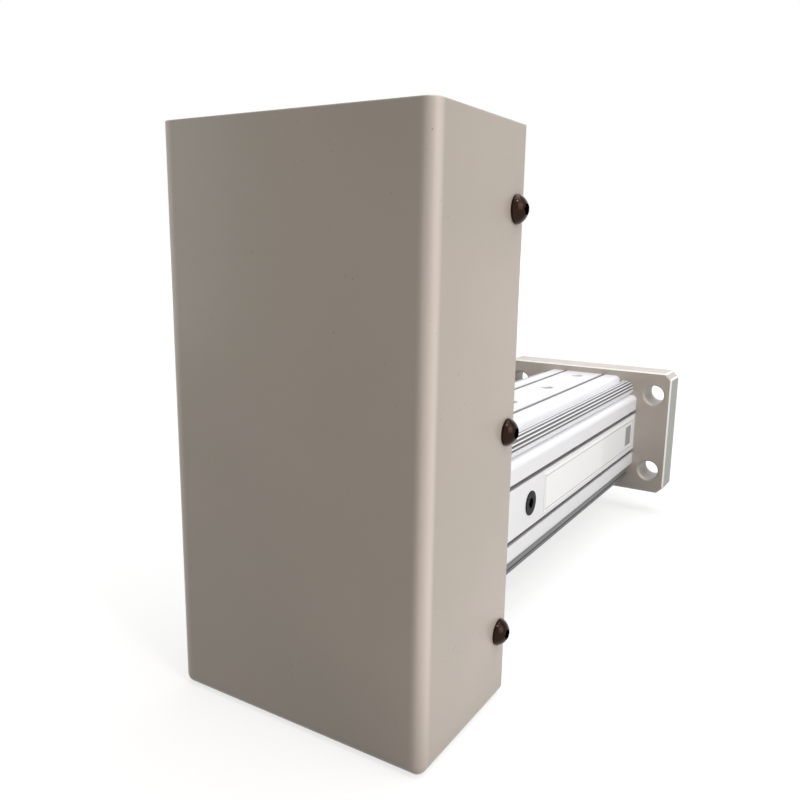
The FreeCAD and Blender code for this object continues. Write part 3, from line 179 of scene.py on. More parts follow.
class Graph:
    """Node graph of one material or world."""

    def __init__(self, owner: "bpy.types.Material | bpy.types.World") -> None:
        """Empties the owner's node tree, to be filled.

        Args:
            owner: the material or world.
        """
        owner.use_nodes = True
        self.owner = owner
        self.tree = owner.node_tree
        self.tree.nodes.clear()

    def node(self, kind: str, settings: dict, inputs: dict) -> bpy.types.Node:
        """Adds a node of any kind.

        Args:
            kind: the node's type.
            settings: its properties, which are set first.
            inputs: a value or a link for each socket, by name or number.

        Returns:
            The new node.
        """
        node = self.tree.nodes.new(kind)
        for name, setting in settings.items():
            setattr(node, name, setting)
        for key, given in inputs.items():
            self.feed(node, key, given)
        return node

    def feed(self, node: bpy.types.Node, key: "str | int", given: object) -> None:
        """Sets one socket of a node.

        Args:
            node: the node.
            key: the socket's name or number.
            given: a number, a colour or a link.
        """
        given = given.socket if isinstance(given, Value) else given
        if isinstance(given, bpy.types.NodeSocket):
            self.tree.links.new(given, node.inputs[key])
            return
        is_colour = node.inputs[key].type == "RGBA"
        node.inputs[key].default_value = (*given, 1.0) if is_colour else given

    def place(self) -> bpy.types.NodeSocket:
        """The piece's own coordinates."""
        return self.node("ShaderNodeTexCoord", {}, {}).outputs["Object"]

    def axes(self) -> list[Value]:
        """The piece's x, y and z as three values."""
        node = self.node("ShaderNodeSeparateXYZ", {}, {0: self.place()})
        return [Value(self, socket) for socket in node.outputs]

    def seen(self) -> Value:
        """Tells rays that show a thing from rays that carry its light on.

        Returns:
            1 for what is seen directly, in a reflection or through glass, and 0 for light on matt things.
        """
        rays = self.node("ShaderNodeLightPath", {}, {}).outputs
        kinds = ("Is Camera Ray", "Is Glossy Ray", "Is Transmission Ray")
        straight, mirrored, through = [Value(self, rays[kind]) for kind in kinds]
        return straight.higher(mirrored).higher(through)

    def noise(
        self, size: float, stretch: Triple = (1, 1, 1), detail: float = 2.0, at: object = None
    ) -> Value:
        """Cloudy values from 0 to 1.

        Args:
            size: width of a cloud, in metres.
            stretch: how many times longer the clouds are along each axis.
            detail: number of finer layers.
            at: coordinates to read in place of the piece's own.

        Returns:
            The cloud's value.
        """
        scale = [1 / (size * times) for times in stretch]
        place = self.node("ShaderNodeMapping", {}, {"Vector": at or self.place(), "Scale": scale})
        inputs = {"Vector": place.outputs[0], "Scale": 1.0, "Detail": detail}
        return Value(self, self.node("ShaderNodeTexNoise", {}, inputs).outputs[0])

    def apart(self, place: bpy.types.NodeSocket, point: Triple) -> Value:
        """Distance of a place from a point."""
        node = self.node("ShaderNodeVectorMath", {"operation": "DISTANCE"}, {0: place, 1: point})
        return Value(self, node.outputs["Value"])

    def blend(self, share: "Value | float", first: object, second: object) -> bpy.types.NodeSocket:
        """Colour between two colours, by a share from 0 to 1."""
        inputs = {0: share, MIX_FIRST: first, MIX_SECOND: second}
        return self.node("ShaderNodeMix", {"data_type": "RGBA"}, inputs).outputs[MIX_RESULT]

    def relief(self, height: Value, depth: float) -> bpy.types.NodeSocket:
        """Surface direction of a fine relief, whose height of 1 stands for a depth in metres."""
        node = self.node("ShaderNodeBump", {}, {"Strength": 1.0, "Distance": depth, "Height": height})
        return node.outputs[0]

    def show(self, shader: bpy.types.Node) -> None:
        """Links a shader to the output of the material or world."""
        kind = "World" if isinstance(self.owner, bpy.types.World) else "Material"
        self.node(f"ShaderNodeOutput{kind}", {}, {"Surface": shader.outputs[0]})

    def wear(self, **inputs: object) -> bpy.types.Material:
        """Adds the main shader of a finish.

        Args:
            inputs: a value or a link for each of its sockets, with underscores for spaces.

        Returns:
            The material.
        """
        titles = {name: name.replace("_", " ").title().replace("Ior", "IOR") for name in inputs}
        sockets = {titles[name]: given for name, given in inputs.items()}
        self.show(self.node("ShaderNodeBsdfPrincipled", {}, sockets))
        return self.owner


class Grain(Enum):
    """Direction of the fine lines that a tool leaves in metal, as their stretch along each axis."""

    LENGTHWISE = (60.0, 1.0, 1.0)
    ACROSS = (1.0, 60.0, 1.0)
    EVEN = (1.0, 1.0, 1.0)
    TURNED = (1.0, 1.0, 0.0)


@dataclass(frozen=True)
class Fold:
    """Two upright folds of a sheet, with a painted highlight along them.

    Attributes:
        colour: colour of the painted highlight.
        corner: distance along the object and half distance across it of the sharp corner before folding.
        reach: distances from that corner at which the painted highlight starts to fade and ends, in metres.
        levels: heights between which the painted highlight grows.
    """

    colour: Colour
    corner: Span
    reach: Span
    levels: Span

    def highlight_share(self, graph: Graph) -> Value:
        """Finds the painted highlight by the distance from the nearest corner, and by the height.

        Args:
            graph: the material's graph.

        Returns:
            1 where the highlight is painted and 0 elsewhere.
        """
        x, y, z = graph.axes()
        from_corner = distance(x - self.corner[0], abs(y) - self.corner[1])
        return (1 - from_corner.rising(*self.reach)) * z.rising(*self.levels)


@dataclass(frozen=True)
class Paint:
    """Stoved paint on sheet: faint clouds in its colour, a few dark specks and orange peel in its gloss.

    Attributes:
        colour: main colour.
        cloud: colour of the faint clouds.
        roughness: dullness of the film.
        coat: weight of a clear layer.
        peel: width and depth of the orange peel, in metres.
        fold: upright folds with a painted highlight along them, if there are any.
        speck: colour of the specks.
        speck_share: how much of it a speck takes.
        speck_size: width of a speck.
        speck_gap: width of the areas that specks gather in.
        cloud_size: width of a cloud.
        cloud_step: noise between which a cloud grows.
        speck_step: noise between which a speck grows.
        gap_step: noise between which an area of specks grows.
        cloud_dull: how much duller the clouds are.
        peel_dull: how much duller the orange peel's crests are.
        coat_roughness: dullness of the clear layer.
    """

    colour: Colour
    cloud: Colour
    roughness: float
    coat: float
    peel: Span = (2.2 * MM, 0.02 * MM)
    fold: Fold | None = None
    speck: Colour = shown(112, 102, 92)
    speck_share: float = 0.5
    speck_size: float = 0.9 * MM
    speck_gap: float = 9 * MM
    cloud_size: float = 70 * MM
    cloud_step: Span = (0.3, 0.7)
    speck_step: Span = (0.80, 0.84)
    gap_step: Span = (0.5, 0.7)
    cloud_dull: float = 0.1
    peel_dull: float = 0.05
    coat_roughness: float = 0.12

    def material(self, name: str) -> bpy.types.Material:
        """Builds the finish's material.

        Args:
            name: the material's name.

        Returns:
            The material.
        """
        graph = Graph(bpy.data.materials.new(name))
        clouds = graph.noise(self.cloud_size, detail=3.0)
        film = graph.blend(clouds.rising(*self.cloud_step), self.colour, self.cloud)
        if self.fold:
            # Painted highlight along the folds.
            film = graph.blend(self.fold.highlight_share(graph), film, self.fold.colour)
        dots = graph.noise(self.speck_size, detail=0.0).rising(*self.speck_step)
        specks = dots * graph.noise(self.speck_gap).rising(*self.gap_step)
        peel = graph.noise(self.peel[0], detail=1.0)
        dull = self.roughness + self.cloud_dull * (clouds - NOISE_MIDDLE)
        return graph.wear(
            base_color=graph.blend(specks * self.speck_share, film, self.speck),
            roughness=dull + self.peel_dull * (peel - NOISE_MIDDLE),
            coat_weight=self.coat,
            coat_roughness=self.coat_roughness,
            normal=graph.relief(peel, self.peel[1]),
        )


@dataclass(frozen=True)
class Rim:
    """Rim of a plate: a painted highlight on its chamfers, and painted shade on the edges at its two sides.

    Attributes:
        bright: colour of the painted highlight on the chamfers.
        side_shade: colour of the painted shade on the side edges.
        half_width: distance of the shaded side edges from the middle, in metres.
        half_height: distance of the upper and lower edges from the middle.
        chamfer: width of the chamfers.
        soft: width over which one colour fades into the next.
    """

    bright: Colour
    side_shade: Colour
    half_width: float = 60 * MM
    half_height: float = 42 * MM
    chamfer: float = 1.0 * MM
    soft: float = 0.03 * MM

    def over(self, graph: Graph, tone: bpy.types.NodeSocket) -> bpy.types.NodeSocket:
        """Lays the rim's colours over a plate's. The upper and lower edges stay as the faces are.

        Args:
            graph: the material's graph.
            tone: colour of the plate's faces.

        Returns:
            The colour of the whole plate.
        """
        _, y, z = graph.axes()
        across = abs(y) - self.half_width
        level = abs(z) - self.half_height
        chamfered = across.higher(level).rising(-self.chamfer - self.soft, -self.chamfer + self.soft)
        plain = level.rising(-2 * self.soft, -self.soft)
        # Painted highlight on the chamfers.
        tone = graph.blend(chamfered * (1 - plain), tone, self.bright)
        # Painted shade on the two side edges.
        return graph.blend(across.rising(-2 * self.soft, -self.soft), tone, self.side_shade)


@dataclass(frozen=True)
class Metal:
    """Bare, plated or anodised metal with the lines of its last tool.

    Attributes:
        colour: main colour.
        stain: colour of the faint stains.
        roughness: dullness between the lines.
        grain: direction of the lines. Turned ones go round the object's long axis.
        pitch: spacing of the lines, in metres.
        depth: depth of the lines, in metres.
        metallic: 1 for bare metal, less under an oxide.
        gloss: strength of the mirror-like part of an oxide.
        rim: painted highlight and painted shade on the rim of a plate, if it has them.
        blotch: how much duller the stains are.
        stain_size: width of a stain.
        stain_step: noise between which a stain grows.
        stain_mean: usual strength of the stains.
        stain_share: how much of their colour the stains take.
        line_share: how much of that colour the lines take.
        line_dull: how much duller the lines are.
    """

    colour: Colour
    stain: Colour
    roughness: float
    grain: Grain = Grain.EVEN
    pitch: float = 0.5 * MM
    depth: float = 0.006 * MM
    metallic: float = 1.0
    gloss: float = 0.5
    rim: Rim | None = None
    blotch: float = 0.1
    stain_size: float = 24 * MM
    stain_step: Span = (0.35, 0.75)
    stain_mean: float = 0.4
    stain_share: float = 0.7
    line_share: float = 0.3
    line_dull: float = 0.14

    def lines(self, graph: Graph) -> Value:
        """Draws the tool's lines.

        Args:
            graph: the material's graph.

        Returns:
            Values from 0 to 1 that run along the lines.
        """
        if self.grain is not Grain.TURNED:
            return graph.noise(self.pitch, self.grain.value, detail=3.0)
        x, y, z = graph.axes()
        place = graph.node("ShaderNodeCombineXYZ", {}, {0: x, 1: distance(y, z)}).outputs[0]
        return graph.noise(self.pitch, detail=3.0, at=place)

    def material(self, name: str) -> bpy.types.Material:
        """Builds the finish's material.

        Args:
            name: the material's name.

        Returns:
            The material.
        """
        graph = Graph(bpy.data.materials.new(name))
        lines = self.lines(graph)
        stains = graph.noise(self.stain_size, detail=4.0).rising(*self.stain_step)
        tone = graph.blend(self.stain_share * stains + self.line_share * lines, self.colour, self.stain)
        if self.rim:
            tone = self.rim.over(graph, tone)
        dull = self.roughness + self.line_dull * (lines - NOISE_MIDDLE)
        return graph.wear(
            base_color=tone,
            roughness=dull + self.blotch * (stains - self.stain_mean),
            metallic=self.metallic,
            specular_ior_level=self.gloss,
            normal=graph.relief(lines, self.depth),
        )


@dataclass(frozen=True)
class Extrusion:
    """Satin anodised extrusion: drawing lines, painted shade in flutes, grooves and holes, and painted shade
    on the lower corners.

    Attributes:
        colour: main colour.
        line: colour of the drawing lines and of the clouds in the oxide.
        hollow: colour of the painted shade inside flutes, grooves and holes.
        roughness: dullness of the oxide.
        metallic: share of bare metal that shows through the oxide.
        line_pitch: spacing of the drawing lines, in metres.
        cloud_size: width of the clouds.
        cloud_stretch: how many times longer the clouds are along each axis.
        film_share: how much of their colour the lines and the clouds take.
        film_dull: how much duller they are.
        face: distance of the flat faces from the tube's axis.
        face_half: half the width of the part of a face that is flat.
        lobe_centre: distance of a corner lobe's centre from the tube's middle planes.
        lobe_radius: radius of a lobe's crests.
        flute_depth: depth of the flutes.
        flute_share: how dark the painted shade in the flutes is.
        lip: depth below a face or crest at which the painted shade starts.
        pit_depth: depth below a face at which the painted shade in grooves and holes is darkest.
        pit_share: how dark the painted shade in them is.
        corner_shade: colour of the painted shade on the two lower corners.
        corner_shade_share: how much of the painted shade shows.
        corner_start: distance from the tube's middle planes at which the corners start.
    """

    colour: Colour
    line: Colour
    hollow: Colour
    roughness: float
    metallic: float
    line_pitch: float = 0.5 * MM
    cloud_size: float = 40 * MM
    cloud_stretch: Triple = (4.0, 1.0, 1.0)
    film_share: float = 0.4
    film_dull: float = 0.08
    face: float = 37.5 * MM
    face_half: float = 21.5 * MM
    lobe_centre: float = 29.6 * MM
    lobe_radius: float = 5.2 * MM
    flute_depth: float = 0.6 * MM
    flute_share: float = 0.9
    lip: float = 0.15 * MM
    pit_depth: float = 0.75 * MM
    pit_share: float = 0.4
    # Painted shade on the two lower corners, which face down.
    corner_shade: Colour = shown(70, 73, 74)
    corner_shade_share: float = 0.8
    corner_start: float = 24.7 * MM

    def sides(self, graph: Graph) -> list[Value]:
        """Distances from the tube's two middle planes."""
        return [abs(side) for side in graph.axes()[1:]]

    def pits(self, graph: Graph) -> Value:
        """Finds the grooves and holes of the four faces, which take a painted shade, by the depth below them.

        Args:
            graph: the material's graph.

        Returns:
            1 inside them and 0 on the faces.
        """
        y, z = self.sides(graph)
        below = 1 - y.higher(z).rising(self.face - self.pit_depth, self.face - self.lip)
        return below * (1 - y.lower(z).rising(self.face_half - self.lip, self.face_half))

    def flutes(self, graph: Graph) -> Value:
        """Where the flutes take a painted shade: 1 at their bottom and 0 on the crests, by the distance from
        a lobe's centre.
        """
        radius = distance(*[side - self.lobe_centre for side in self.sides(graph)])
        return 1 - radius.rising(self.lobe_radius - self.flute_depth, self.lobe_radius - self.lip)

    def lower_corners(self, graph: Graph) -> Value:
        """Finds the two lower corners, which take a painted shade, by the distances from the middle planes.

        Args:
            graph: the material's graph.

        Returns:
            1 on them and 0 elsewhere.
        """
        y, z = self.sides(graph)
        corner = y.lower(z).rising(self.corner_start, self.corner_start + self.lip)
        return corner * (1 - graph.axes()[2].rising(-self.lip, self.lip))

    def material(self, name: str) -> bpy.types.Material:
        """Builds the finish's material.

        Args:
            name: the material's name.

        Returns:
            The material.
        """
        graph = Graph(bpy.data.materials.new(name))
        lines = graph.noise(self.line_pitch, Grain.LENGTHWISE.value, detail=2.0)
        clouds = graph.noise(self.cloud_size, self.cloud_stretch, detail=3.0)
        film = graph.blend(self.film_share * lines + self.film_share * clouds, self.colour, self.line)
        # Painted shade on the two lower corners.
        film = graph.blend(self.corner_shade_share * self.lower_corners(graph), film, self.corner_shade)
        # Painted shade at the bottom of the flutes.
        film = graph.blend(self.flute_share * self.flutes(graph), film, self.hollow)
        dull = self.roughness + self.film_dull * (lines - NOISE_MIDDLE)
        # Painted shade inside the grooves and holes.
        return graph.wear(
            base_color=graph.blend(self.pit_share * self.pits(graph), film, self.hollow),
            roughness=dull + self.film_dull * (clouds - NOISE_MIDDLE),
            metallic=self.metallic,
        )


@dataclass(frozen=True)
class Moulded:
    """Moulded plastic or rubber: an eroded skin with a little dust in its hollows.

    Attributes:
        colour: main colour.
        dust: colour of the dust.
        roughness: dullness of the skin.
        texture: width and depth of the skin's texture, in metres.
        dusting: share of dust in the hollows.
        patch_size: width of the patches that dust lies in.
        patch_step: noise between which a patch grows.
        patch_dull: how much duller the patches are.
        skin_dull: how much duller the skin's crests are.
    """

    colour: Colour
    dust: Colour
    roughness: float
    texture: Span = (0.7 * MM, 0.02 * MM)
    dusting: float = 0.25
    patch_size: float = 14 * MM
    patch_step: Span = (0.4, 0.75)
    patch_dull: float = 0.15
    skin_dull: float = 0.1

    def material(self, name: str) -> bpy.types.Material:
        """Builds the finish's material.

        Args:
            name: the material's name.

        Returns:
            The material.
        """
        graph = Graph(bpy.data.materials.new(name))
        skin = graph.noise(self.texture[0], detail=3.0)
        patches = graph.noise(self.patch_size, detail=3.0).rising(*self.patch_step)
        dull = self.roughness + self.patch_dull * (patches - NOISE_MIDDLE)
        return graph.wear(
            base_color=graph.blend(self.dusting * patches * (1 - skin), self.colour, self.dust),
            roughness=dull + self.skin_dull * (skin - NOISE_MIDDLE),
            normal=graph.relief(skin, self.texture[1]),
        )


@dataclass(frozen=True)
class Film:
    """Label film: a printed border and one plain field on a pale ground, with a scuffed gloss.

    Attributes:
        colour: colour of the ground.
        scuff: colour of the scuffs.
        print_colour: colour of the border and the field.
        roughness: dullness of the film.
        middle_x: place of the label's middle along the tube, in metres.
        size: length and height of the label.
        border: distances of the border's outer and inner line from the label's edge.
        field_x: place of the plain field's middle.
        field_size: length and height of the field.
        soft: width over which the print fades out.
        print_share: how dense the print is.
        fibre: width and depth of the film's fibres.
        fibre_share: how much of the scuffs' colour the fibres take.
        scuff_size: width of a scuff.
        scuff_stretch: how many times longer the scuffs are along each axis.
        scuff_step: noise between which a scuff grows.
        scuff_share: how much of their colour the scuffs take.
        scuff_dull: how much duller they are.
        coat: weight of a clear layer.
    """

    colour: Colour
    scuff: Colour
    print_colour: Colour
    roughness: float
    middle_x: float = -106 * MM
    size: Span = (162 * MM, 21 * MM)
    border: Span = (1.2 * MM, 1.6 * MM)
    field_x: float = -36 * MM
    field_size: Span = (12 * MM, 13 * MM)
    soft: float = 0.1 * MM
    print_share: float = 0.85
    fibre: Span = (0.35 * MM, 0.004 * MM)
    fibre_share: float = 0.1
    scuff_size: float = 1.2 * MM
    scuff_stretch: Triple = (12.0, 1.0, 1.0)
    scuff_step: Span = (0.62, 0.8)
    scuff_share: float = 0.25
    scuff_dull: float = 0.2
    coat: float = 0.3

    def inset(self, graph: Graph, middle_x: float, size: Span) -> Value:
        """Distance inwards from the edge of an upright oblong.

        Args:
            graph: the material's graph.
            middle_x: place of the oblong's middle along the tube.
            size: its length and height.

        Returns:
            The distance, which is negative outside.
        """
        x, _, z = graph.axes()
        from_end = size[0] / 2 - abs(x - middle_x)
        return from_end.lower(size[1] / 2 - abs(z))

    def printed(self, graph: Graph) -> Value:
        """Draws the border and the field.

        Args:
            graph: the material's graph.

        Returns:
            1 on them and 0 on the ground.
        """
        edge = self.inset(graph, self.middle_x, self.size)
        outer, inner = self.border
        line = edge.rising(outer, outer + self.soft) * (1 - edge.rising(inner, inner + self.soft))
        return line + self.inset(graph, self.field_x, self.field_size).rising(0.0, self.soft)

    def material(self, name: str) -> bpy.types.Material:
        """Builds the finish's material.

        Args:
            name: the material's name.

        Returns:
            The material.
        """
        graph = Graph(bpy.data.materials.new(name))
        fibre = graph.noise(self.fibre[0], detail=2.0)
        scuffs = graph.noise(self.scuff_size, self.scuff_stretch, detail=3.0).rising(*self.scuff_step)
        worn = self.scuff_share * scuffs + self.fibre_share * fibre
        ground = graph.blend(worn, self.colour, self.scuff)
        return graph.wear(
            base_color=graph.blend(self.print_share * self.printed(graph), ground, self.print_colour),
            roughness=self.roughness + self.scuff_dull * scuffs,
            coat_weight=self.coat,
            normal=graph.relief(fibre, self.fibre[1]),
        )


class Finish(Enum):
    """Every finish of the object.

    All are named as the record's slots are, apart from the flange's plate and the plug's oxide.
    """

    HOOD_PAINT = Paint(
        shown(181, 169, 159),
        shown(175, 165, 155),
        roughness=0.33,
        coat=0.1,
        # Painted highlight along the hood's two upright bends, growing with height.
        fold=Fold(
            shown(219, 206, 198),
            corner=(-345 * MM, 58 * MM),
            reach=(2.2 * MM, 6.0 * MM),
            levels=(-110 * MM, 10 * MM),
        ),
    )
    MOTOR_PAINT = Paint(
        shown(44, 44, 46), shown(52, 52, 55), roughness=0.5, coat=0.1, peel=(1.0 * MM, 0.03 * MM)
    )
    # The third colour is the painted shade in flutes, grooves and holes.
    ANODISED_TUBE = Extrusion(
        shown(242, 242, 245), shown(231, 231, 234), shown(36, 36, 39), roughness=0.45, metallic=0.1
    )
    MACHINED_ALUMINIUM = Metal(
        shown(176, 169, 161),
        shown(168, 161, 153),
        roughness=0.32,
        grain=Grain.ACROSS,
        pitch=0.4 * MM,
        depth=0.0005 * MM,
        blotch=0.04,
    )
    FLANGE_PLATE = Metal(
        shown(196, 187, 178),
        shown(188, 179, 170),
        roughness=0.42,
        grain=Grain.ACROSS,
        pitch=0.4 * MM,
        depth=0.0005 * MM,
        metallic=0.1,
        # Painted highlight on the chamfers and painted shade on the side edges.
        rim=Rim(shown(252, 250, 246), shown(149, 152, 145)),
        blotch=0.04,
    )
    BLACK_SCREW = Metal(shown(53, 39, 33), shown(41, 32, 28), roughness=0.16, depth=0.001 * MM)
    BLACK_OXIDE = Metal(
        shown(24, 24, 24),
        shown(18, 18, 18),
        roughness=0.34,
        grain=Grain.TURNED,
        pitch=0.4 * MM,
        depth=0.002 * MM,
        metallic=0.2,
        gloss=0.03,
    )
    BRIGHT_STEEL = Metal(
        shown(200, 201, 203),
        shown(176, 177, 180),
        roughness=0.24,
        grain=Grain.TURNED,
        pitch=0.3 * MM,
        depth=0.003 * MM,
    )
    CHROMED_ROD = Metal(
        shown(198, 201, 206),
        shown(188, 191, 197),
        roughness=0.12,
        grain=Grain.TURNED,
        pitch=0.2 * MM,
        depth=0.0006 * MM,
    )
    PLATED_STEEL = Metal(shown(206, 204, 196), shown(184, 180, 166), roughness=0.3, pitch=0.6 * MM)
    BRONZE = Metal(
        shown(206, 160, 98), shown(168, 122, 70), roughness=0.34, grain=Grain.TURNED, pitch=0.35 * MM
    )
    LAMINATION = Metal(shown(150, 146, 142), shown(108, 102, 98), roughness=0.46, grain=Grain.TURNED)
    MAGNET = Metal(shown(120, 120, 126), shown(90, 90, 96), roughness=0.5, pitch=0.4 * MM)
    BLACK_RUBBER = Moulded(
        shown(34, 33, 33), shown(92, 88, 82), roughness=0.68, texture=(0.5 * MM, 0.03 * MM)
    )
    BUFFER_RUBBER = Moulded(shown(176, 92, 44), shown(150, 88, 56), roughness=0.5)
    BLACK_PLASTIC = Moulded(shown(40, 40, 42), shown(86, 84, 80), roughness=0.48)
    BEARING_PLASTIC = Moulded(shown(222, 214, 192), shown(190, 180, 156), roughness=0.45)
    LABEL_FILM = Film(
        shown(253, 253, 254), shown(230, 230, 230), shown(128, 130, 134), roughness=0.42
    )

    def material(self) -> bpy.types.Material:
        """The finish's material, built once."""
        name = f"finish_{self.name.lower()}"
        return bpy.data.materials.get(name) or self.value.material(name)


def dress(piece: bpy.types.Object, finish: Finish) -> None:
    """Gives a piece one finish in every slot.

    Args:
        piece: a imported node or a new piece.
        finish: what it wears.
    """
    material = finish.material()
    if not piece.material_slots:
        piece.data.materials.append(material)
    for slot in piece.material_slots:
        slot.material = material


def round_angles(count: int) -> np.ndarray:
    """Angles of some points that are spaced evenly round an axis."""
    return np.arange(count) * TURN / count


def thread_swing(along: np.ndarray, pitch: float, angles: np.ndarray) -> np.ndarray:
    """Height of a V thread from 0 to 1, by the distance along its axis less the turn, in pitches."""
    phase = (along[:, None] / pitch - angles / TURN) % 1.0
    return 1 - np.abs(2 * phase - 1)


def revolved(radii: np.ndarray, along: np.ndarray, angles: np.ndarray) -> np.ndarray:
    """Points of a surface about an axis.

    A row is one station of the profile and a column one angle. The point lies at the row's distance along
    the axis, and at its radius from it, in the column's direction.

    Args:
        radii: radius of each row, or of each row and column.
        along: distance of each row along the axis.
        angles: angle of each column.

    Returns:
        Rows by columns by (along, across, up).
    """
    spread = np.broadcast_to(radii if radii.ndim == 2 else radii[:, None], (along.size, angles.size))
    stations = np.broadcast_to(along[:, None], spread.shape)
    return np.stack((stations, spread * np.cos(angles), spread * np.sin(angles)), axis=-1)


def grid_faces(rows: int, columns: int, ring: bool) -> np.ndarray:
    """Corners of the four-sided faces of a grid whose columns close on themselves.

    Args:
        rows: number of rows.
        columns: number of columns.
        ring: whether the last row also joins the first.

    Returns:
        One line of four point numbers per face.
    """
    row = np.arange(rows if ring else rows - 1)[:, None]
    column = np.arange(columns)[None, :]
    below = row * columns
    above = (row + 1) % rows * columns
    beside = (column + 1) % columns
    corners = (below + column, below + beside, above + beside, above + column)
    return np.stack(corners, axis=-1).reshape(-1, 4)


def piece_from(
    name: str, grids: list[np.ndarray], body: str, finish: Finish, ring: bool
) -> bpy.types.Object:
    """Makes one piece of some closed grids, lets it ride a body and dresses it.

    Args:
        name: the piece's name.
        grids: points in millimetres, each rows by columns by three.
        body: the body that it moves with.
        finish: what it wears.
        ring: whether each grid's last row joins its first.

    Returns:
        The new piece.
    """
    points = []
    faces = []
    count = 0
    for grid in grids:
        rows, columns = grid.shape[:2]
        points.append(grid.reshape(-1, 3) * MM)
        faces.append(grid_faces(rows, columns, ring) + count)
        count += rows * columns
    mesh = bpy.data.meshes.new(name)
    mesh.from_pydata(np.concatenate(points).tolist(), [], np.concatenate(faces).tolist())
    joined = bmesh.new()
    joined.from_mesh(mesh)
    bmesh.ops.remove_doubles(joined, verts=joined.verts, dist=MERGE_DISTANCE)
    bmesh.ops.recalc_face_normals(joined, faces=joined.faces)
    joined.to_mesh(mesh)
    joined.free()
    mesh.polygons.foreach_set("use_smooth", np.ones(len(mesh.polygons), dtype=bool))
    mesh.set_sharp_from_angle(angle=SHARP_ANGLE)
    piece = bpy.data.objects.new(name, mesh)
    bpy.context.scene.collection.objects.link(piece)
    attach(piece, body)
    finish.name.lower()
    dress(piece, finish)
    return piece


@dataclass
class Group:
    """A sub-assembly.

    Attributes:
        wears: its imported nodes, and what each of them wears.
    """

    wears: dict[str, Finish] = field(default_factory=dict)

    def build(self) -> list[bpy.types.Object]:
        """Makes the sub-assembly's finer pieces. A plain one has none."""
        return []

    def dress(self) -> list[bpy.types.Object]:
        """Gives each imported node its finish.

        Returns:
            The dressed nodes.
        """
        pieces = [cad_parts[name] for name in self.wears]
        for piece, finish in zip(pieces, self.wears.values()):
            dress(piece, finish)
        return pieces


def nodes_wearing(finish: Finish, *names: str) -> dict[str, Finish]:
    """The same finish for several nodes."""
    return {name: finish for name in names}


@dataclass
class Hood(Group):
    """Folded hood over the drive end, and its domed screws."""

    wears: dict[str, Finish] = field(
        default_factory=lambda: {"belt_cover": Finish.HOOD_PAINT, "cover_screws": Finish.BLACK_SCREW}
    )


@dataclass
class Tube(Group):
    """Square extrusion with its plug and plain label, and what its ends hold."""

    wears: dict[str, Finish] = field(
        default_factory=lambda: {
            "cylinder_tube": Finish.ANODISED_TUBE,
            "lube_plug": Finish.BLACK_OXIDE,
            "side_label": Finish.LABEL_FILM,
            "front_flange": Finish.FLANGE_PLATE,
            **nodes_wearing(Finish.MACHINED_ALUMINIUM, "gland_cap", "drive_plate"),
            **nodes_wearing(Finish.BLACK_SCREW, "flange_screws", "gland_cap_screws", "tube_screws"),
            **nodes_wearing(Finish.BUFFER_RUBBER, "front_bumper", "rear_bumper"),
            "rod_bush": Finish.BRONZE,
            "rod_wiper": Finish.BLACK_RUBBER,
        }
    )


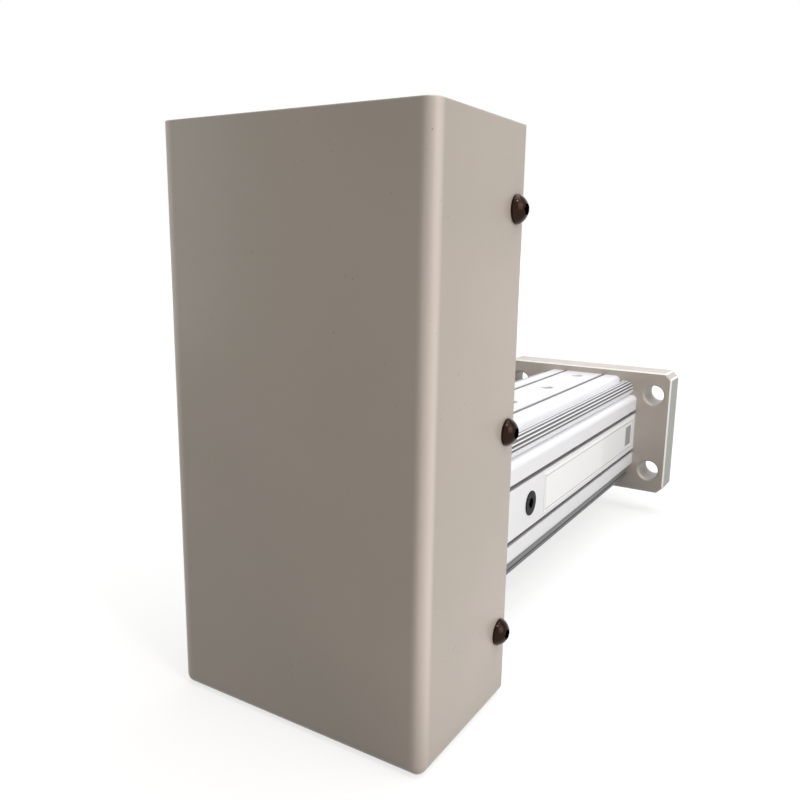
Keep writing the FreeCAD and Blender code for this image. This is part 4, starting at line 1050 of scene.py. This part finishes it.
@dataclass
class PushRod(Group):
    """Rod with its threaded end and nut, and the piston that carries it. Sizes are in millimetres.

    Attributes:
        plug_x: inner end of the plug.
        collar_x: start and end of the collar.
        flats_x: start of the collar's wrench flats.
        tip_x: end of the stud.
        plug_radius: radius of the plug.
        rod_radius: radius of the collar.
        collar_edge: chamfer of the collar.
        flats: width across the wrench flats.
        stud_radius: radius of the thread's crests.
        stud_core: radius of its roots.
        thread_pitch: pitch of the thread.
        thread_steps: rows of points in one pitch.
        thread_rise: height of the thread's V before its crests are cut flat, in depths of the thread.
        tip_chamfer: chamfer of the stud's tip.
        nut_height: height of the nut.
        nut_flats: width across the nut's flats.
        nut_face: radius of the nut's round faces, as a share of half that width.
        nut_slope: slope of the cone that cuts the nut's corners.
        nut_mouth: radius of the bore at the nut's faces.
        nut_gap: gap between the bore and the stud's core.
        nut_sides: number of the nut's flats.
        nut_rows: rows of points along the nut's side.
        columns: points round rod end and nut.
    """

    plug_x: float = -13.0
    collar_x: Span = (12.0, 24.0)
    flats_x: float = 15.0
    tip_x: float = 60.0
    plug_radius: float = 13.5
    rod_radius: float = 18.0
    collar_edge: float = 0.6
    flats: float = 30.0
    stud_radius: float = 10.0
    stud_core: float = 9.1
    thread_pitch: float = 1.5
    thread_steps: int = 10
    thread_rise: float = 1.3
    tip_chamfer: float = 1.2
    nut_height: float = 10.0
    nut_flats: float = 30.0
    nut_face: float = 0.95
    nut_slope: float = math.sqrt(3)
    nut_mouth: float = 10.4
    nut_gap: float = 0.04
    nut_sides: int = 6
    nut_rows: int = 25
    columns: int = 96
    wears: dict[str, Finish] = field(
        default_factory=lambda: {
            "piston_rod": Finish.CHROMED_ROD,
            "piston": Finish.MACHINED_ALUMINIUM,
            "nut_screws": Finish.BLACK_SCREW,
            **nodes_wearing(Finish.BRIGHT_STEEL, "ball_nut", "nut_balls"),
            **nodes_wearing(Finish.BEARING_PLASTIC, "wear_rings", "guide_keys"),
            "magnet_ring": Finish.MAGNET,
        }
    )

    def build(self) -> list[bpy.types.Object]:
        """Makes the threaded rod end and its chamfered nut.

        Returns:
            The two pieces.
        """
        end = piece_from("rod_end_threaded", [self.end_points()], "rod", Finish.BRIGHT_STEEL, False)
        nut = piece_from("rod_end_nut_chamfered", [self.nut_points()], "rod", Finish.PLATED_STEEL, True)
        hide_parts("rod_end")
        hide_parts("rod_end_nut")
        return [end, nut]

    def end_points(self) -> np.ndarray:
        """Rod end: a plug and a collar with two flats, then a stud with a V thread.

        On the flats, the radius is at most half their width over the cosine of the angle. On the thread, it
        swings between core and crest, and the tip's chamfer cuts it off.

        Returns:
            Rows by columns by three, in millimetres.
        """
        start, end = self.collar_x
        edge = self.collar_edge
        nut_end = end + self.nut_height
        angles = round_angles(self.columns)
        plain = [(self.plug_x, 0.0), (self.plug_x, self.plug_radius), (start, self.plug_radius)]
        rod = self.rod_radius
        collar = [(start, rod - edge), (start + edge, rod), (self.flats_x, rod)]
        flatted = [(self.flats_x, rod), (end - edge, rod), (end, rod - edge)]
        below_nut = [(end, self.stud_core), (nut_end, self.stud_core)]
        steps = round((self.tip_x - nut_end) / self.thread_pitch * self.thread_steps)
        stud_x = np.linspace(nut_end, self.tip_x, steps + 1)
        swing = np.clip(self.thread_rise * thread_swing(stud_x, self.thread_pitch, angles), 0.0, 1.0)
        crest = np.minimum(self.stud_radius, self.stud_radius - self.tip_chamfer + self.tip_x - stud_x)
        thread = np.minimum(self.stud_core + (self.stud_radius - self.stud_core) * swing, crest[:, None])
        reach = self.flats / 2 / np.maximum(np.abs(np.cos(angles)), LEAST_COSINE)
        rows = np.array(plain + collar + flatted + below_nut)
        radii = np.repeat(rows[:, 1:], self.columns, axis=1)
        first = len(plain) + len(collar)
        span = slice(first, first + len(flatted))
        radii[span] = np.minimum(radii[span], reach)
        along = np.concatenate((rows[:, 0], stud_x, [self.tip_x]))
        return revolved(np.concatenate((radii, thread, np.zeros((1, self.columns)))), along, angles)

    def nut_points(self) -> np.ndarray:
        """Hexagon nut as a ring: out over its rear face, along its side, in over its front face and back.

        Its side is the hexagon, which a cone cuts off at both faces: the radius is the smaller of the two.
        Rows lie closer together towards the faces.

        Returns:
            Rows by columns by three, in millimetres.
        """
        angles = round_angles(self.columns)
        start = self.collar_x[1]
        middle = start + self.nut_height / 2
        half = self.nut_flats / 2
        side = np.linspace(-1.0, 1.0, self.nut_rows)
        side = np.sign(side) * (1 - (1 - np.abs(side)) ** 2)
        from_face = (1 - np.abs(side)) * self.nut_height / 2
        sector = TURN / self.nut_sides
        hexagon = half / np.cos(angles % sector - sector / 2)
        cone = half * self.nut_face + from_face * self.nut_slope
        outer = np.minimum(hexagon[None, :], cone[:, None])
        mouth = self.nut_mouth - self.stud_core
        bore_radius = self.stud_core + self.nut_gap
        bore = np.array([self.nut_mouth, bore_radius, bore_radius, self.nut_mouth])
        bore_x = middle + np.array([1, 1, -1, -1]) * (self.nut_height / 2 - np.array([0, mouth, mouth, 0]))
        along = np.concatenate((middle + side * self.nut_height / 2, bore_x))
        radii = np.concatenate((outer, np.repeat(bore[:, None], self.columns, axis=1)))
        return revolved(radii, along, angles)


@dataclass
class ScrewDrive(Group):
    """Ball screw, its bearings and its tip."""

    wears: dict[str, Finish] = field(
        default_factory=lambda: {
            **nodes_wearing(Finish.BRIGHT_STEEL, "ball_screw", "bearing_cartridge", "bearing_outer_rings"),
            **nodes_wearing(Finish.BRIGHT_STEEL, "bearing_inner_rings", "bearing_balls"),
            **nodes_wearing(Finish.BLACK_SCREW, "retainer_screws", "screw_lock_nut", "tip_circlip"),
            "bearing_retainer": Finish.PLATED_STEEL,
            "tip_bush": Finish.BEARING_PLASTIC,
        }
    )


@dataclass
class BeltStage(Group):
    """Belt, pulleys and tensioner."""

    wears: dict[str, Finish] = field(
        default_factory=lambda: {
            "timing_belt": Finish.BLACK_RUBBER,
            **nodes_wearing(Finish.MACHINED_ALUMINIUM, "driven_pulley", "drive_pulley"),
            **nodes_wearing(Finish.PLATED_STEEL, "driven_pulley_flanges", "drive_pulley_flanges"),
            **nodes_wearing(Finish.PLATED_STEEL, "pulley_washer", "tension_block"),
            **nodes_wearing(Finish.PLATED_STEEL, "tension_screw", "tension_lock_nut"),
            **nodes_wearing(Finish.BLACK_SCREW, "pulley_bolt", "drive_set_screws", "tension_block_screws"),
            "pulley_key": Finish.BRIGHT_STEEL,
        }
    )


@dataclass
class Motor(Group):
    """Motor with its sockets. Sizes are in millimetres, and heights count from a socket's foot.

    Attributes:
        socket_pitch: distance between the two sockets.
        base_half: half the width of a socket's square base.
        base_height: height of the base.
        base_edge: chamfer of the base.
        base_power: how square the base is.
        barrel_radius: radius of the coupling thread's crests.
        barrel_core: radius of its roots.
        barrel_height: height of the whole socket.
        ring_pitch: pitch of the thread.
        ring_start: height at which the thread starts.
        ring_end: height at which it ends.
        ring_rows: rows of points along it.
        rim: chamfer of the rim.
        recess_radius: radius of the recess.
        recess_depth: depth of the recess.
        insert_height: thickness of the insert on the recess's floor.
        insert_gap: gap round the insert.
        insert_edge: chamfer of the insert.
        pin_radius: radius of a pin.
        pin_height: height of a pin over the recess's floor.
        pin_circle: radius of the circle that the pins stand on.
        pin_start: angle of the first pin.
        pin_count: number of pins.
        pin_columns: points round a pin.
        tip_rows: rows of points on a pin's tip.
        columns: points round a socket.
    """

    socket_pitch: float = 19.0
    base_half: float = 8.5
    base_height: float = 4.0
    base_edge: float = 0.5
    base_power: float = 9.0
    barrel_radius: float = 7.5
    barrel_core: float = 6.9
    barrel_height: float = 16.0
    ring_pitch: float = 1.5
    ring_start: float = 5.0
    ring_end: float = 14.5
    ring_rows: int = 64
    rim: float = 0.4
    recess_radius: float = 5.5
    recess_depth: float = 11.0
    insert_height: float = 1.2
    insert_gap: float = 0.1
    insert_edge: float = 0.3
    pin_radius: float = 0.8
    pin_height: float = 5.0
    pin_circle: float = 3.0
    pin_start: float = TURN / 8
    pin_count: int = 4
    pin_columns: int = 16
    tip_rows: int = 6
    columns: int = 64
    wears: dict[str, Finish] = field(
        default_factory=lambda: {
            "motor_flange": Finish.MACHINED_ALUMINIUM,
            "motor_housing": Finish.MOTOR_PAINT,
            "motor_stator": Finish.LAMINATION,
            **nodes_wearing(Finish.BRIGHT_STEEL, "motor_bearings", "motor_rotor"),
            "motor_end_cap": Finish.BLACK_PLASTIC,
            "motor_screws": Finish.BLACK_SCREW,
            **nodes_wearing(Finish.PLATED_STEEL, "end_cap_screws", "motor_nuts"),
        }
    )

    def build(self) -> list[bpy.types.Object]:
        """Makes the two sockets with their inserts and pins.

        Returns:
            The three pieces.
        """
        low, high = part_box("motor_sockets")
        middle = (np.array(low) + np.array(high)) / 2 / MM
        feet = [np.array((middle[0] + side * self.socket_pitch / 2, 0.0, low[2] / MM)) for side in (-1, 1)]
        shells = [self.upright(self.shell_points(), foot) for foot in feet]
        inserts = [self.upright(self.insert_points(), foot) for foot in feet]
        pins = [self.upright(self.pin_points(), foot + spot) for foot in feet for spot in self.pin_spots()]
        body = piece_from("socket_shells", shells, "frame", Finish.BLACK_PLASTIC, False)
        insert = piece_from("socket_inserts", inserts, "frame", Finish.BEARING_PLASTIC, False)
        contact = piece_from("socket_pins", pins, "frame", Finish.BRONZE, False)
        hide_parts("motor_sockets")
        return [body, insert, contact]

    def upright(self, points: np.ndarray, foot: np.ndarray) -> np.ndarray:
        """Turns points about X into points about Z, on a foot."""
        return points[..., [1, 2, 0]] + foot

    def pin_spots(self) -> np.ndarray:
        """Places of the pins on the floor of a socket's recess, evenly round a circle.

        Returns:
            One line of three numbers per pin, in millimetres from the socket's foot.
        """
        turns = self.pin_start + round_angles(self.pin_count)
        floor = np.full(self.pin_count, self.barrel_height - self.recess_depth)
        return np.stack((self.pin_circle * np.cos(turns), self.pin_circle * np.sin(turns), floor), axis=-1)

    def shell_points(self) -> np.ndarray:
        """Socket: a rounded square base, a barrel with a coupling thread, a rim and a recess.

        The base's radius is that of a superellipse of a high power. The thread's radius swings between
        core and crest.

        Returns:
            Rows by columns by three, in millimetres, about the X axis.
        """
        angles = round_angles(self.columns)
        power = self.base_power
        square = (np.abs(np.cos(angles)) ** power + np.abs(np.sin(angles)) ** power) ** (-1 / power)
        edge = self.base_edge
        half = self.base_half
        step = self.base_height
        base_rows = np.array([(0.0, 0.0), (0.0, half), (step - edge, half), (step, half - edge)])
        base = base_rows[:, 1:] * square
        ring_x = np.linspace(self.ring_start, self.ring_end, self.ring_rows)
        swing = thread_swing(ring_x, self.ring_pitch, angles)
        ring = self.barrel_core + (self.barrel_radius - self.barrel_core) * swing
        top = self.barrel_height
        floor = top - self.recess_depth
        core = self.barrel_core
        recess = self.recess_radius
        foot = np.array([(step, core), (self.ring_start, core)])
        outside = [(self.ring_end, core), (top - self.rim, core), (top, core - self.rim)]
        inside = [(top, recess + self.rim), (top - self.rim, recess), (floor, recess), (floor, 0.0)]
        rim = np.array(outside + inside)
        plain = [np.repeat(rows[:, 1:], self.columns, axis=1) for rows in (foot, rim)]
        along = np.concatenate((base_rows[:, 0], foot[:, 0], ring_x, rim[:, 0]))
        return revolved(np.concatenate((base, plain[0], ring, plain[1])), along, angles)

    def insert_points(self) -> np.ndarray:
        """Insert: a disc on the floor of the recess, turned from its profile.

        Returns:
            Rows by columns by three, in millimetres, about the X axis.
        """
        floor = self.barrel_height - self.recess_depth
        radius = self.recess_radius - self.insert_gap
        edge = self.insert_edge
        top = floor + self.insert_height
        lower = [(floor, 0.0), (floor, radius), (top - edge, radius)]
        rows = np.array(lower + [(top, radius - edge), (top, 0.0)])
        return revolved(rows[:, 1], rows[:, 0], round_angles(self.columns))

    def pin_points(self) -> np.ndarray:
        """Contact pin with a round tip: a bar, then a quarter circle.

        Returns:
            Rows by columns by three, in millimetres, about the X axis.
        """
        turn = np.linspace(0.0, TURN / 4, self.tip_rows)
        tip_x = self.pin_height - self.pin_radius + self.pin_radius * np.sin(turn)
        along = np.concatenate(([0.0, 0.0], tip_x))
        radii = np.concatenate(([0.0, self.pin_radius], self.pin_radius * np.cos(turn)))
        return revolved(radii, along, round_angles(self.pin_columns))


@dataclass(frozen=True)
class Softbox:
    """A square lamp.

    Attributes:
        name: its name.
        stand: where it stands, in metres.
        facing: the point that it faces.
        side: length of its side, in metres.
        power: its power in watts.
        colour: colour of its light.
    """

    name: str
    stand: Triple
    facing: Triple
    side: float
    power: float
    colour: Colour = WHITE

    def build(self) -> None:
        """Adds the lamp."""
        lamp = bpy.data.lights.new(self.name, "AREA")
        lamp.size = self.side
        lamp.energy = self.power
        lamp.color = self.colour
        holder = bpy.data.objects.new(self.name, lamp)
        holder.location = self.stand
        ahead = Vector(self.facing) - Vector(self.stand)
        holder.rotation_euler = ahead.to_track_quat("-Z", "Y").to_euler()
        bpy.context.scene.collection.objects.link(holder)


@dataclass
class Studio:
    """White surround and floor, soft lamps, and a camera at the photograph's angle.

    Attributes:
        eye: the camera's place, in metres.
        ahead: the direction that it looks in.
        right: the image's right-hand direction.
        lens: focal length in millimetres.
        sensor: width of the film in millimetres.
        ambient: strength of the world's light from its dim side and from its bright side.
        bright_side: direction of the bright side.
        bright_step: how far a direction points to the bright side where it starts and where it is reached.
        dim_tint: colour of the light from the dim side.
        glow_near: share of the floor's white that shadows don't reach, near the object.
        glow_reach: distances between which shadows fade out of the floor, in metres.
        shadow_share: share of the floor's white that shadows do reach.
        floor_side: length of the floor's side, in metres.
        floor_gap: gap between the floor and the object.
        floor_dim: colour of the floor, for the light that it sends back to the object.
        floor_pale: the same in a round pale patch beside the hood.
        pale_middle: middle of the patch.
        pale_reach: distances from it at which the patch starts to fade and ends, in metres.
        floor_dark: colour of the floor in a round dark patch under the tube.
        dark_middle: middle of the dark patch.
        dark_reach: distances from it at which the dark patch starts to fade and ends.
        lamps: the lamps.
    """

    eye: Triple = (-0.5525, -0.1753, 0.1254)
    ahead: Triple = (0.83381, 0.5153, -0.19807)
    right: Triple = (0.5283, -0.84892, 0.01544)
    lens: float = 35.0
    sensor: float = 36.0
    ambient: Span = (0.14, 0.55)
    bright_side: Triple = (0.6, -0.65, 0.46)
    bright_step: Span = (-0.7, 0.9)
    dim_tint: Colour = shown(255, 238, 224)
    glow_near: Colour = (0.72, 0.72, 0.72)
    glow_reach: Span = (0.6, 2.0)
    shadow_share: Colour = (0.36, 0.36, 0.36)
    floor_side: float = 30.0
    floor_gap: float = 0.2 * MM
    floor_dim: Colour = (0.13, 0.15, 0.135)
    floor_pale: Colour = (0.9, 0.88, 0.85)
    pale_middle: Triple = (-0.3, -0.45, 0.0)
    pale_reach: Span = (0.34, 0.42)
    floor_dark: Colour = (0.03, 0.034, 0.032)
    dark_middle: Triple = (-0.1, -0.02, 0.0)
    dark_reach: Span = (0.08, 0.14)
    lamps: tuple[Softbox, ...] = (
        Softbox("side_box", (-0.2, -1.5, 1.2), (-0.2, 0.0, 0.0), side=1.2, power=5.0, colour=WARM),
        Softbox("low_box", (-0.55, -1.5, 0.6), (-0.3, 0.0, 0.1), side=1.0, power=5.4, colour=WARM),
        Softbox("top_box", (0.1, -0.2, 2.0), (-0.15, 0.0, 0.0), side=1.6, power=20.0, colour=COLD),
        Softbox("back_box", (1.7, 0.2, 0.6), (-0.1, 0.0, 0.0), side=1.2, power=3.0),
        Softbox("key_box", (-0.6, -0.9, 1.5), (-0.25, 0.0, 0.05), side=0.14, power=3.0),
        Softbox("front_box", (-1.2, 0.2, 0.12), (-0.34, 0.0, 0.03), side=0.3, power=0.44, colour=DAY),
        Softbox("corner_box", (-0.75, 0.75, 0.2), (-0.34, 0.0, 0.05), side=0.5, power=0.85, colour=DAY),
    )

    def build(self) -> None:
        """Sets up world, floor, lamps and camera."""
        bpy.context.scene.view_settings.view_transform = "Standard"
        self.build_world()
        self.build_floor()
        for lamp in self.lamps:
            lamp.build()
        self.build_camera()

    def build_world(self) -> None:
        """Soft light, stronger from one side, in a surround that is white to the eye and in reflections."""
        world = bpy.data.worlds.new("studio_world")
        bpy.context.scene.world = world
        graph = Graph(world)
        facing = graph.node("ShaderNodeTexCoord", {}, {}).outputs["Generated"]
        inputs = {0: facing, 1: self.bright_side}
        towards = graph.node("ShaderNodeVectorMath", {"operation": "DOT_PRODUCT"}, inputs)
        share = Value(graph, towards.outputs["Value"]).rising(*self.bright_step)
        light = self.ambient[0] + (self.ambient[1] - self.ambient[0]) * share
        seen = graph.seen()
        strength = seen + (1 - seen) * light
        colour = graph.blend(seen, graph.blend(share, self.dim_tint, WHITE), WHITE)
        graph.show(graph.node("ShaderNodeBackground", {}, {"Color": colour, "Strength": strength}))

    def build_floor(self) -> None:
        """Large floor just under the hood, seen as white apart from the object's shadow."""
        half = self.floor_side / 2
        level = CAD_BOX[0][2] - self.floor_gap
        corners = [(x, y, level) for x, y in ((-half, -half), (half, -half), (half, half), (-half, half))]
        mesh = bpy.data.meshes.new("studio_floor")
        mesh.from_pydata(corners, [], [(0, 1, 2, 3)])
        floor = bpy.data.objects.new("studio_floor", mesh)
        bpy.context.scene.collection.objects.link(floor)
        graph = Graph(bpy.data.materials.new("studio_floor"))
        place = graph.place()
        around_hood = graph.apart(place, self.pale_middle).rising(*self.pale_reach)
        around_tube = graph.apart(place, self.dark_middle).rising(*self.dark_reach)
        shade = graph.blend(around_hood, self.floor_pale, self.floor_dim)
        shade = graph.blend(around_tube, self.floor_dark, shade)
        matt = graph.node("ShaderNodeBsdfDiffuse", {}, {"Color": shade})
        faint = graph.node("ShaderNodeBsdfDiffuse", {}, {"Color": self.shadow_share})
        fade = graph.apart(place, ORIGIN).rising(*self.glow_reach)
        glow = graph.node("ShaderNodeEmission", {}, {"Color": graph.blend(fade, self.glow_near, WHITE)})
        bright = graph.node("ShaderNodeAddShader", {}, {0: faint.outputs[0], 1: glow.outputs[0]})
        inputs = {0: graph.seen(), 1: matt.outputs[0], 2: bright.outputs[0]}
        graph.show(graph.node("ShaderNodeMixShader", {}, inputs))
        mesh.materials.append(graph.owner)

    def build_camera(self) -> None:
        """Camera that stands where the photograph was taken from."""
        lens = bpy.data.cameras.new("photo_camera")
        lens.lens = self.lens
        lens.sensor_width = self.sensor
        camera = bpy.data.objects.new("photo_camera", lens)
        back = -Vector(self.ahead).normalized()
        right = Vector(self.right).normalized()
        up = back.cross(right)
        camera.matrix_world = Matrix.Translation(self.eye) @ Matrix((right, up, back)).transposed().to_4x4()
        bpy.context.scene.collection.objects.link(camera)
        bpy.context.scene.camera = camera


def main() -> None:
    """Builds and dresses each sub-assembly in order, reports its pieces, then builds the studio."""
    logging.basicConfig(level=logging.INFO, format="%(message)s")
    for group in (Hood(), Tube(), PushRod(), ScrewDrive(), BeltStage(), Motor()):
        pieces = group.build() + group.dress()
        for piece in pieces:
            LOG.info("%s: %s, %d faces", type(group).__name__, piece.name, len(piece.data.polygons))
    Studio().build()


if __name__ == "__main__":
    main()
